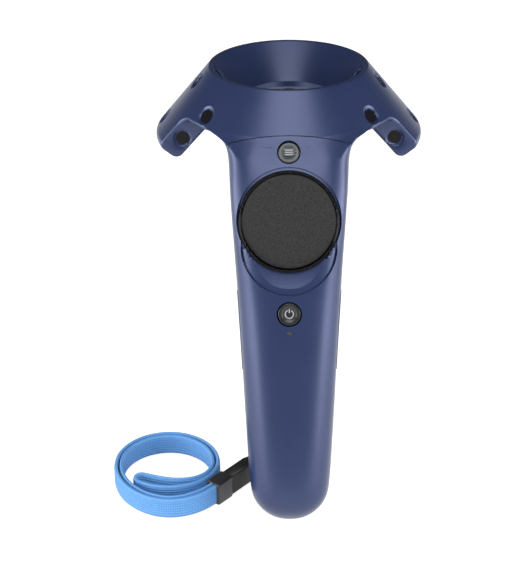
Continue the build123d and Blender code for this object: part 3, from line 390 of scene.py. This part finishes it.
# %% Finishes
class Finish:
    """A material under construction, with its tree and its shader."""

    def __init__(self, name, colour, roughness, metallic=0.0):
        self.material = bpy.data.materials.new(name)
        self.material.use_nodes = True
        self.tree = self.material.node_tree
        self.shader = next(node for node in self.tree.nodes if node.type == "BSDF_PRINCIPLED")
        self.set("Base Color", (*colour, 1))
        self.set("Roughness", roughness)
        self.set("Metallic", metallic)

    def set(self, socket, value):
        feed(self.tree, self.shader.inputs[socket], value)

    def node(self, kind, settings=(), sockets=(), output=0):
        """Any node, in this material."""
        return add_node(self.tree, kind, settings, sockets, output)

    def place(self):
        """The point on the object, in metres."""
        return self.node("ShaderNodeTexCoord", output="Object")

    def map_parts(self, name):
        """The two counts of a piece's own texture map."""
        where = self.node("ShaderNodeUVMap", {"uv_map": name})
        parts = self.node("ShaderNodeSeparateXYZ", sockets={"Vector": where}).outputs()
        return parts["X"], parts["Y"]

    def noise(self, scale, detail=2.0):
        sockets = {"Vector": self.place(), "Scale": scale, "Detail": detail}
        return self.node("ShaderNodeTexNoise", sockets=sockets)

    def mix(self, factor, first, second):
        """Two colours mixed. The node's sockets share their names, so they go by number."""
        sockets = {0: factor, 6: (*first, 1), 7: (*second, 1)}
        return self.node("ShaderNodeMix", {"data_type": "RGBA"}, sockets, output=2)

    def bump(self, height, strength, distance):
        """Bumps of a given height in metres."""
        sockets = {"Strength": strength, "Distance": distance, "Height": height}
        self.set("Normal", self.node("ShaderNodeBump", sockets=sockets))


def linear(hexadecimal):
    """The colour of a six-figure screen code, with the screen's own curve taken out of it."""
    values = [int(hexadecimal[i:i + 2], 16) / 255 for i in (0, 2, 4)]
    return tuple(v / 12.92 if v <= 0.04045 else ((v + 0.055) / 1.055) ** 2.4 for v in values)


# %% [markdown]
# ## Moulded plastic finishes
# The body is a satin blue plastic with a faint sparkle. Its mould was etched, so light from the side spreads
# into broad soft bands. That needs a middling roughness and a fine bump, with a thin clear coat on top. The
# windows pass infrared light and look black. A glossy black would mirror the white surround, and the
# photograph's windows don't, so theirs is a dull one. The pad is grained rubber-like plastic, because a thumb
# slides on it.

# %% Plastic finishes
body = Finish("satin blue plastic", linear("24335A"), 0.4, 0.35)
sparkle = body.noise(9000, 2)
cloud = body.noise(60, 3)
body.set("Base Color", body.mix(sparkle * 0.6 + cloud * 0.4, linear("1D2B51"), linear("27365F")))
body.set("Roughness", cloud * 0.06 + 0.33)
body.set("Specular IOR Level", 0.65)
body.set("Coat Weight", 0.1)
body.set("Coat Roughness", 0.3)
body.bump(body.noise(5200, 2), 0.1, 0.00003)

windows = Finish("infrared window", (0.003, 0.003, 0.004), 0.4)
windows.set("Roughness", windows.noise(400, 2) * 0.08 + 0.36)
windows.set("Specular IOR Level", 0.2)

pad_finish = Finish("grained pad", linear("242424"), 0.62)
grain = pad_finish.noise(1700, 2)
pad_finish.set("Base Color", pad_finish.mix((grain - 0.5) * 3 + 0.5, linear("0C0C0C"), linear("2A2A2A")))
pad_finish.set("Roughness", grain * 0.2 + 0.6)
pad_finish.set("Specular IOR Level", 0.35)
pad_finish.bump(grain, 0.6, 0.0001)

black_trim = Finish("black gloss trim", (0.002, 0.002, 0.003), 0.25)
black_trim.set("Roughness", black_trim.noise(500, 2) * 0.08 + 0.22)
black_trim.set("Specular IOR Level", 0.1)
print("plastic", body.material.name, windows.material.name, pad_finish.material.name)

# %% [markdown]
# ## Finishes of the smaller pieces
# Each material of the real thing gets one finish, and every piece of that material shares it. The roughness
# of each varies a little, because a perfectly even surface looks like a drawing.


# %% Small finishes
def varied(name, code, roughness, metallic=0.0, scale=700, spread=0.1):
    """A plain finish whose roughness wavers."""
    finish = Finish(name, linear(code), roughness, metallic)
    finish.set("Roughness", finish.noise(scale, 2) * spread + (roughness - spread / 2))
    return finish


button_grey = varied("grey button", "3E4144", 0.36)
button_black = varied("black button", "1B1D20", 0.3)
icon_dim = varied("grey print", "83868A", 0.45)
icon_bright = varied("light print", "A9ABAE", 0.45)
light_pipe = varied("smoked light pipe", "141416", 0.2)
trigger_finish = varied("satin black trigger", "1B1C1F", 0.32, scale=500)
grip_finish = varied("grip plastic", "2C3759", 0.42, 0.1, scale=500)
steel = varied("plain steel", "A5A6A8", 0.3, 1.0, scale=800, spread=0.15)
board = varied("green board", "1D4A32", 0.4)
film = varied("amber film", "A0651E", 0.4)
inner = varied("dark moulded plastic", "2A2B2D", 0.55)
wrap = varied("battery wrap", "777A80", 0.35, scale=300)
slider_finish = varied("slider plastic", "29292C", 0.36)
sleeve_finish = varied("sleeve rubber", "151515", 0.5, scale=900)
cord_finish = varied("black braid", "141415", 0.8)
cord_finish.bump(cord_finish.noise(1800, 1), 0.5, 0.0001)
lanyard.data.materials.append(cord_finish.material)
print("finishes", len(bpy.data.materials))

# %% [markdown]
# ## The strap's knit
# Up close the band shows rows of small V stitches in its ribs. They are drawn by a wave that runs along the
# band and bends with the distance round it, both taken from the band's own texture map. The grooves between
# the ribs are pressed in by the bump, and painted shade also darkens their colour to a deeper blue.

# %% Strap finish
fabric = Finish("knitted blue band", linear("5CA0E4"), 0.8)
along_band, round_band = fabric.map_parts("weave")
rib_pitch = 2 * (half_width - half_thickness) * map_scale / rib_count
stitch_pitch, stitch_slant = 0.075, 2.2
chevron = (round_band * (2 * math.pi / rib_pitch)).sine().math("ABSOLUTE")
knit = (along_band * (2 * math.pi / stitch_pitch) + chevron * stitch_slant).sine() * 0.5 + 0.5
# Where the grooves between the ribs lie. They are pressed in by the bump and also darkened in colour as
# painted shade.
groove_and_painted_shade = (round_band * (math.pi / rib_pitch)).sine().math("ABSOLUTE")
fuzz = fabric.noise(1500, 2)
tone_with_painted_shade = (knit * 0.35 + groove_and_painted_shade * 0.45 + fuzz * 0.3).clamped()
# The darker blue comes partly from the knit and fuzz and partly from painted shade in the grooves.
fabric.set("Base Color", fabric.mix(tone_with_painted_shade, linear("3574BE"), linear("74B0E8")))
fabric.set("Sheen Weight", 0.1)
fabric.set("Sheen Roughness", 0.5)
fabric.bump(knit * 0.6 + groove_and_painted_shade * 0.6 + fuzz * 0.3, 0.6, 0.0002)
strap_band.data.materials.append(fabric.material)
print("knit rows per centimetre", round(1 / stitch_pitch, 1))

# %% [markdown]
# ## The true directions of the big surfaces
# A CAD mesh has long thin triangles that run from a hole's rim to the far edge of a face. Smooth shading
# blends the directions of such triangles, and on a satin finish the light then looks crumpled. A finer mesh
# would only make finer crumples. The shapes are known exactly, though: the handle is drawn through a row of
# rounded sections, the head is turned on its axis, and the recess under the pad is part of a ball. So the
# sections are drawn here again as a fine net, and the smooth copies borrow the net's directions. Sizes are
# in millimetres, in a frame that lies along the handle. A section is a rounded box whose front and back may
# differ. Each row of shares gives its height, its width, how deep its front and its back are, and how square
# they are.

# %% Sizes of the handle
lean, tilt = math.radians(20), math.radians(15)
ring_back, ring_height, lip_radius, flank = 35.0, 103.0, 35.3, math.radians(39.15)
apron_drop, shell_wall, waist_back = 18.8, 2.0, 22.3
handle_width, handle_depth, neck_height, butt_drop, butt_height = 53.6, 30.0, 69.6, 94.8, 17.0
section_points = 28
handle_shares = [
    (1.000, 1.000, 0.593, 0.880, 3.2, 2.5), (0.852, 0.952, 0.800, 0.907, 3.8, 2.6),
    (0.566, 0.910, 0.993, 0.947, 5.4, 2.7), (0.171, 0.843, 1.027, 0.987, 3.8, 2.7),
    (-0.159, 0.784, 1.020, 1.013, 3.2, 2.7), (-0.484, 0.724, 0.993, 1.053, 2.9, 2.6),
    (-0.686, 0.684, 0.967, 1.067, 2.7, 2.5),
]
flare_shares = ((0.0, 1.0, 1.0), (0.28, 0.47, 1.0), (0.62, 0.14, 0.8))
neck_flare, neck_follow_share, neck_stand = 10.2, 0.45, 0.25
butt_angles, butt_shares, butt_square = (0, 22, 42, 58, 70, 80), (0.649, 0.933, 1.053), 2.5
halvings = 18
print("handle", handle_width, "wide and", handle_depth, "deep")


# %% One section
def from_wand(x, y, z):
    """From millimetres along the handle to metres in the part's leaning frame."""
    y, z = y * math.cos(lean) + z * math.sin(lean), z * math.cos(lean) - y * math.sin(lean)
    return millimetres(x, y, z)


def in_wand(front, drop):
    """A point of the ring's own frame, in the handle's middle plane."""
    y, z = -front, -drop
    return (ring_back + y * math.cos(tilt) - z * math.sin(tilt),
            ring_height + y * math.sin(tilt) + z * math.cos(tilt))


def slope_reach(x, middle, front):
    """How far a section may reach forward before it leaves the ring's outer slope."""
    low, high = 0.0, 2.0
    for _ in range(halvings):
        share = (low + high) / 2
        y = middle[0] + share * (front[0] - middle[0]) - ring_back
        z = middle[1] + share * (front[1] - middle[1]) - ring_height
        forward = -y * math.cos(tilt) - z * math.sin(tilt)
        drop = y * math.sin(tilt) - z * math.cos(tilt)
        limit = lip_radius + neck_stand + drop * math.tan(flank)
        low, high = (share, high) if math.hypot(x, forward) < limit else (low, share)
    return low


def handle_section(half, front, back, front_square, back_square, follow=0.0):
    """The points round one section, from its half width and its foremost and rearmost points."""
    middle = [(a + b) / 2 for a, b in zip(front, back)]
    points = []
    for step in range(section_points):
        angle = 2 * math.pi * step / section_points
        across, forward = math.cos(angle), math.sin(angle)
        square = front_square if forward > 0 else back_square
        x = half * math.copysign(abs(across) ** (2 / square), across)
        reach = math.copysign(abs(forward) ** (2 / square), forward)
        if follow > 0 and forward > 0:
            reach += follow * min(slope_reach(x, middle, front) - reach, 0)
        points.append(Vector((x, middle[0] + reach * (front[0] - middle[0]),
                              middle[1] + reach * (front[1] - middle[1]))))
    return points


# %% All sections
def neck_sections():
    """The flared sections between the ring's apron and the neck."""
    drop = apron_drop - shell_wall
    top_front = in_wand(lip_radius + drop * math.tan(flank) + neck_stand, drop)
    top_back = in_wand(waist_back, drop)
    _, _, front_share, back_share, front_square, back_square = handle_shares[0]
    neck_front = (-front_share * handle_depth / 2, neck_height)
    neck_back = (back_share * handle_depth / 2, neck_height)
    sections = []
    for share, flare, follow in flare_shares:
        front = [a + share * (b - a) for a, b in zip(top_front, neck_front)]
        back = [a + share * (b - a) for a, b in zip(top_back, neck_back)]
        half = handle_width / 2 + flare * neck_flare
        sections.append(handle_section(half, front, back, front_square, back_square, follow))
    return sections


def grip_sections():
    """The sections that the hand holds, from the neck down."""
    depth = handle_depth / 2
    sections = []
    for height, width, front, back, front_square, back_square in handle_shares:
        z = height * (neck_height if height > 0 else butt_drop)
        follow = neck_follow_share if height == handle_shares[0][0] else 0.0
        sections.append(handle_section(width * handle_width / 2, (-front * depth, z), (back * depth, z),
                                       front_square, back_square, follow))
    return sections


def butt_sections():
    """The rounded foot, whose sections shrink like the rings of a ball."""
    depth = handle_depth / 2
    width, front, back = butt_shares
    sections = []
    for angle in butt_angles:
        size = math.cos(math.radians(angle))
        z = -(butt_drop - butt_height) - butt_height * math.sin(math.radians(angle))
        sections.append(handle_section(size * width * handle_width / 2, (-size * front * depth, z),
                                       (size * back * depth, z), butt_square, butt_square))
    return sections


sections = neck_sections() + grip_sections() + butt_sections()
foremost = section_points // 4
top, foot = sections[0][foremost], sections[-1][foremost]
print("sections", len(sections), "from z", round(top.z, 1), "to", round(foot.z, 1))

# %% [markdown]
# A straight line between two sections would make a fold at each one. A natural cubic spline has no folds, and
# it is what the CAD program draws too. It runs round every section first and then along the handle.


# %% Splines through the sections
points_per_gap, net_step, shortest_step = 5, 0.9, 1e-6


def spline_through(points, counts):
    """Points of a natural cubic spline through the given ones, so many in each gap."""
    size = len(points)
    steps = [max((b - a).length, shortest_step) for a, b in zip(points, points[1:])]
    slopes = [(b - a) / h for a, b, h in zip(points, points[1:], steps)]
    bends, weights, sums = [Vector((0, 0, 0))] * size, [0.0] * size, [Vector((0, 0, 0))] * size
    for i in range(1, size - 1):
        pivot = 2 * (steps[i - 1] + steps[i]) - steps[i - 1] * weights[i - 1]
        weights[i] = steps[i] / pivot
        sums[i] = (6 * (slopes[i] - slopes[i - 1]) - steps[i - 1] * sums[i - 1]) / pivot
    for i in range(size - 2, 0, -1):
        bends[i] = sums[i] - weights[i] * bends[i + 1]
    line = []
    for i in range(size - 1):
        h = steps[i]
        for part in range(counts[i]):
            b = part / counts[i]
            a = 1 - b
            line.append(a * points[i] + b * points[i + 1]
                        + ((a ** 3 - a) * bends[i] + (b ** 3 - b) * bends[i + 1]) * h * h / 6)
    line.append(points[-1].copy())
    return line


# %% Fine lines round and along
def closed_spline(points, count):
    """The same through a closed ring of points."""
    lap = 6
    wrapped = points[-lap:] + points + points[:lap + 1]
    line = spline_through(wrapped, [count] * (len(wrapped) - 1))
    return line[lap * count:(lap + len(points)) * count]


rings = [closed_spline(points, points_per_gap) for points in sections]
front_line = [ring[foremost * points_per_gap] for ring in rings]
gaps = [max(2, round((b - a).length / net_step)) for a, b in zip(front_line, front_line[1:])]
columns = [spline_through([ring[k] for ring in rings], gaps) for k in range(len(rings[0]))]
across_count, down_count = len(columns), len(columns[0])
print("net", down_count, "rows of", across_count)

# %% [markdown]
# The splines' points become a net of four-sided faces, and Blender works out a direction at each of its
# points. Where the apron meets the neck the sections change fast, and the surface waves by a fraction of a
# millimetre. The eye finds such waves at once on a satin finish. So each direction is blended with those of
# its four neighbours, round after round. That calms the light and leaves the outline alone.

# %% Net and its directions
softening_rounds = 36
net_points = [from_wand(*columns[k][row]) for row in range(down_count) for k in range(across_count)]
net_faces = []
for row in range(down_count - 1):
    for k in range(across_count):
        after = (k + 1) % across_count
        a, b = row * across_count + k, row * across_count + after
        net_faces.append((a, b, b + across_count, a + across_count))


# %% Softer directions
def softened(normals):
    """Each direction of the net, blended with those beside, above and below it."""
    blended = []
    for index, normal in enumerate(normals):
        k = index % across_count
        row_start = index - k
        right, left = row_start + (k + 1) % across_count, row_start + (k - 1) % across_count
        above = index - across_count if row_start > 0 else index
        below = index + across_count if index + across_count < len(normals) else index
        beside = normals[right] + normals[left]
        blended.append((normal * 2 + beside + normals[above] + normals[below]).normalized())
    return blended


net = bpy.data.meshes.new("handle_net")
net.from_pydata(net_points, [], net_faces)
net_normals = [vertex.normal.copy() for vertex in net.vertices]
sample = len(net_points) // 2
if net_normals[sample].dot(net_points[sample] - from_wand(0, 0, 0)) < 0:
    net_normals = [-normal for normal in net_normals]
for _ in range(softening_rounds):
    net_normals = softened(net_normals)
net_tree = BVHTree.FromPolygons(net_points, net_faces)
bpy.data.meshes.remove(net)
print("directions", len(net_normals))

# %% [markdown]
# Three kinds of surface are told apart by measuring. A triangle belongs to the handle when it faces the
# net's way and its corners lie on the net, or just under it, on the floor of a shallow step. It belongs to
# the pad's recess when its corners are one ball radius from the ball's middle. Every other triangle of the
# head that doesn't turn sideways belongs to the turned ring, where the direction at each corner is the
# triangle's own, swung round the axis and blended with its neighbours'. Where handle and ring run into each
# other almost evenly, the corners that they share get the direction between the two.

# %% Places of the ball and the ring
ring_middle = from_wand(0, ring_back, ring_height)
axis_length = 10
ring_axis = (from_wand(0, *in_wand(0, -axis_length)) - ring_middle).normalized()
scoop_depth, scoop_radius, scoop_height = 3.2, 20.6, 28.3
scoop_front = -handle_shares[3][2] * handle_depth / 2
ball_radius = (scoop_radius ** 2 + scoop_depth ** 2) / (2 * scoop_depth)
ball_middle = from_wand(0, scoop_front + scoop_depth - ball_radius, scoop_height)
ball_radius /= mm_per_metre
net_tolerance, step_shallow, step_deep = 0.00035, 0.00055, 0.00105
ball_tolerance, ring_reach = 0.00004, 0.075
net_likeness, ball_likeness, ring_likeness, seam_likeness, sideways_limit = 0.975, 0.95, 0.9, 0.85, 0.08
print("ball radius", round(ball_radius, 4), "ring axis", [round(value, 3) for value in ring_axis])


# %% Directions by measuring
def net_direction(point):
    """The handle net's direction beside a point, on the net or on a step's floor under it, or nothing."""
    place, _, index, distance = net_tree.find_nearest(point)
    if distance > net_tolerance and not step_shallow < distance < step_deep:
        return None
    corners = net_faces[index]
    weights = poly_3d_calc([net_points[corner] for corner in corners], place)
    blended = sum((net_normals[corner] * weight for corner, weight in zip(corners, weights)), Vector())
    return blended.normalized()


def out_from_axis(point):
    """The direction from the ring's axis straight out to a point."""
    arm = point - ring_middle
    return (arm - ring_axis * arm.dot(ring_axis)).normalized()


def turned_direction(face):
    """A turned face's direction, as outward and upward, or nothing for a face that isn't turned."""
    out = out_from_axis(face.center)
    sideways = abs(face.normal.dot(ring_axis.cross(out)))
    if sideways >= sideways_limit or (face.center - ring_middle).length >= ring_reach:
        return None
    return Vector((face.normal.dot(out), face.normal.dot(ring_axis))).normalized()


# %% Directions of the turned ring
def swing_round(mesh, turned, corners):
    """Sets the corners of the turned faces, and returns those corners by vertex."""
    around, ring_corners = {}, {}
    for index, own in turned.items():
        face = mesh.polygons[index]
        for v in face.vertices:
            around.setdefault(v, []).append((own, face.area))
    for index, own in turned.items():
        face = mesh.polygons[index]
        for loop, v in zip(face.loop_indices, face.vertices):
            alike = [other * area for other, area in around[v] if other.dot(own) > ring_likeness]
            blend = sum(alike, Vector((0, 0))).normalized()
            out = out_from_axis(mesh.vertices[v].co)
            corners[loop] = (out * blend.x + ring_axis * blend.y).normalized()
            ring_corners.setdefault(v, []).append(loop)
    return ring_corners


# %% Directions of a whole copy
def true_directions(mesh):
    """A direction for every corner of the mesh, or a zero where the smooth shading is kept."""
    on_net = [net_direction(vertex.co) for vertex in mesh.vertices]
    from_ball = [(vertex.co - ball_middle).length for vertex in mesh.vertices]
    on_ball = [abs(distance - ball_radius) < ball_tolerance for distance in from_ball]
    corners = [Vector()] * len(mesh.loops)
    handle_corners, turned, counts = {}, {}, {"handle": 0, "ball": 0, "ring": 0}
    for face in mesh.polygons:
        members = list(zip(face.loop_indices, face.vertices))
        to_ball = (ball_middle - face.center).normalized()
        own = turned_direction(face)
        if all(on_net[v] is not None and on_net[v].dot(face.normal) > net_likeness for _, v in members):
            for loop, v in members:
                corners[loop] = on_net[v]
                handle_corners.setdefault(v, []).append(loop)
            counts["handle"] += 1
        elif all(on_ball[v] for _, v in members) and to_ball.dot(face.normal) > ball_likeness:
            for loop, v in members:
                corners[loop] = (ball_middle - mesh.vertices[v].co).normalized()
            counts["ball"] += 1
        elif own is not None:
            turned[face.index] = own
            counts["ring"] += 1
    ring_corners = swing_round(mesh, turned, corners)
    for v in handle_corners.keys() & ring_corners.keys():
        first, second = corners[handle_corners[v][0]], corners[ring_corners[v][0]]
        if first.dot(second) > seam_likeness:
            for loop in handle_corners[v] + ring_corners[v]:
                corners[loop] = (first + second).normalized()
    return corners, counts


# %% [markdown]
# ## Smooth copies
# The CAD meshes stay untouched, because other tools measure them. Each visible piece gets a copy whose loose
# triangles are joined. Curves are shaded smooth up to an angle, and edges sharper than that stay crisp.


# %% Copy a node
join_distance = 0.000002


def smooth_copy(node, finish, angle, true_shapes=False):
    """A smooth, finished copy of a node, which stands for it. Edges sharper than the angle stay crisp."""
    original = nodes[node]
    copy = original.copy()
    copy.data = original.data.copy()
    copy.name = node + "_skin"
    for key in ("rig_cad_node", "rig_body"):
        if key in copy:
            del copy[key]
    copy.parent = None
    copy.matrix_world = Matrix()
    bpy.context.scene.collection.objects.link(copy)
    activate(copy)
    bpy.ops.object.mode_set(mode="EDIT")
    bpy.ops.mesh.select_all(action="SELECT")
    bpy.ops.mesh.remove_doubles(threshold=join_distance)
    bpy.ops.object.mode_set(mode="OBJECT")
    bpy.ops.object.shade_smooth_by_angle(angle=math.radians(angle))
    if true_shapes:
        corners, counts = true_directions(copy.data)
        copy.data.normals_split_custom_set(corners)
        print(node, counts, "of", len(copy.data.polygons))
    copy.data.materials.clear()
    copy.data.materials.append(finish.material)
    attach(copy, body_of[node])
    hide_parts(node)


# %% Shell copies
shell_angle, grip_angle, window_angle, control_angle = 24, 30, 25, 28
for name in ("head_shell", "head_under_cover", "handle_front_shell", "handle_back_shell"):
    smooth_copy(name, body, shell_angle, true_shapes=True)
for name in ("left_grip_button", "right_grip_button"):
    smooth_copy(name, grip_finish, grip_angle)

# %% Window copies
for name in ("slope_windows", "funnel_windows", "end_face_windows", "underside_windows"):
    smooth_copy(name, windows, window_angle)

# %% Control copies
for name, finish in (
    ("touch_pad", pad_finish), ("pad_bezel", black_trim), ("menu_button", button_grey),
    ("menu_icon", icon_dim), ("system_button", button_black), ("system_icon", icon_bright),
    ("status_light_pipe", light_pipe), ("trigger", trigger_finish), ("strap_slider", slider_finish),
    ("strap_sleeve", sleeve_finish), ("strap_anchor_pin", steel), ("charging_socket", steel),
    ("cover_screws", steel), ("handle_screws", steel),
):
    smooth_copy(name, finish, control_angle)

# %% [markdown]
# ## Inside pieces
# Boards, switches, the battery and the frame sit behind the walls. They show only through gaps, so they keep
# their CAD shapes and only get a finish.

# %% Inside finishes
inside = {
    "circuit_board": board, "flex_film": film, "steel": steel, "switch_plastic": inner,
    "frame_plastic": inner, "battery_wrap": wrap,
}
kept = []
for name, obj in nodes.items():
    if not obj.hide_render:
        obj.data.materials.clear()
        obj.data.materials.append(inside[slot_of[name]].material)
        kept.append(name)
print("kept as they are:", len(kept))

# %% [markdown]

# %% [markdown]
# ## The stage
# The photograph has a plain white surround. More light would make a grey floor white, but it would bleach
# the wand too. So rays from the camera, and rays mirrored off the wand, see a floor that glows a little,
# while the light that reaches the wand stays plain. The floor still answers to light, so it keeps a soft
# shadow.

# %% Floor
floor_size, floor_gap, floor_glow = 6, 0.00005, 0.8
bpy.ops.mesh.primitive_plane_add(size=floor_size, location=(0, 0, floor - floor_gap))
ground = bpy.context.object
ground.name = "floor"
white_floor = Finish("white floor", (0.6, 0.6, 0.6), 0.8)
rays = white_floor.node("ShaderNodeLightPath").outputs()
seen = (rays["Is Camera Ray"] + rays["Is Glossy Ray"] + rays["Is Transmission Ray"]).clamped()
glow = white_floor.node("ShaderNodeEmission", sockets={"Strength": seen * floor_glow})
plain = Value(white_floor.tree, white_floor.shader.outputs[0])
both = white_floor.node("ShaderNodeAddShader", sockets={0: plain, 1: glow})
feed(white_floor.tree, white_floor.tree.nodes["Material Output"].inputs["Surface"], both)
ground.data.materials.append(white_floor.material)
print("floor at", round(floor, 5))

# %% [markdown]
# The world behind the floor is made in the same way. The camera sees it white, while the light that it gives
# the wand is faint and a little blue, like the light that a pale room returns.

# %% World
room_colour, room_strength = (0.62, 0.64, 0.68, 1), 0.2
white_colour, white_strength = (1, 1, 1, 1), 1.0
world = bpy.data.worlds.new("surround")
bpy.context.scene.world = world
world.use_nodes = True
tree = world.node_tree
background = tree.nodes["Background"]
background.inputs["Color"].default_value = room_colour
background.inputs["Strength"].default_value = room_strength
room = Value(tree, background.outputs[0])
white = add_node(tree, "ShaderNodeBackground", sockets={"Color": white_colour, "Strength": white_strength})
seen = add_node(tree, "ShaderNodeLightPath", output="Is Camera Ray")
blend = add_node(tree, "ShaderNodeMixShader", sockets={0: seen, 1: room, 2: white})
feed(tree, tree.nodes["World Output"].inputs["Surface"], blend)
print("world strength", room_strength, "for the wand and", white_strength, "for the camera")

# %% [markdown]
# ## The lamps
# In the photograph two tall bands of light run down both sides of the handle, and the middle is darker. That
# is the mark of a soft box on each side, and here each is a broad lamp that stands beside the wand, a little
# in front of it. A third light hangs above and in front, and brightens the surfaces that face up: the apron,
# the pad's lower half and the ring's slopes.


# %% Lamps
def soft_lamp(name, place, target, size, power):
    """A flat lamp, aimed at a point."""
    data = bpy.data.lights.new(name, "AREA")
    data.shape = "RECTANGLE"
    data.size, data.size_y = size
    data.energy = power
    lamp = bpy.data.objects.new(name, data)
    bpy.context.scene.collection.objects.link(lamp)
    lamp.location = place
    lamp.rotation_euler = (Vector(target) - Vector(place)).to_track_quat("-Z", "Y").to_euler()


overhead_place, overhead_target = (0, -0.66, 1.09), (0, 0.02, 0.02)
overhead_size, overhead_power = (1.0, 0.9), 12
side_x, side_y, side_z, side_target = 0.86, -0.3, 0.14, (0, 0, 0.02)
side_size, side_power = (1.1, 0.45), 10
soft_lamp("overhead", overhead_place, overhead_target, overhead_size, overhead_power)
for name, side in (("left", -1), ("right", 1)):
    soft_lamp(name, (side * side_x, side_y, side_z), side_target, side_size, side_power)
bpy.context.scene.view_settings.view_transform = "Standard"
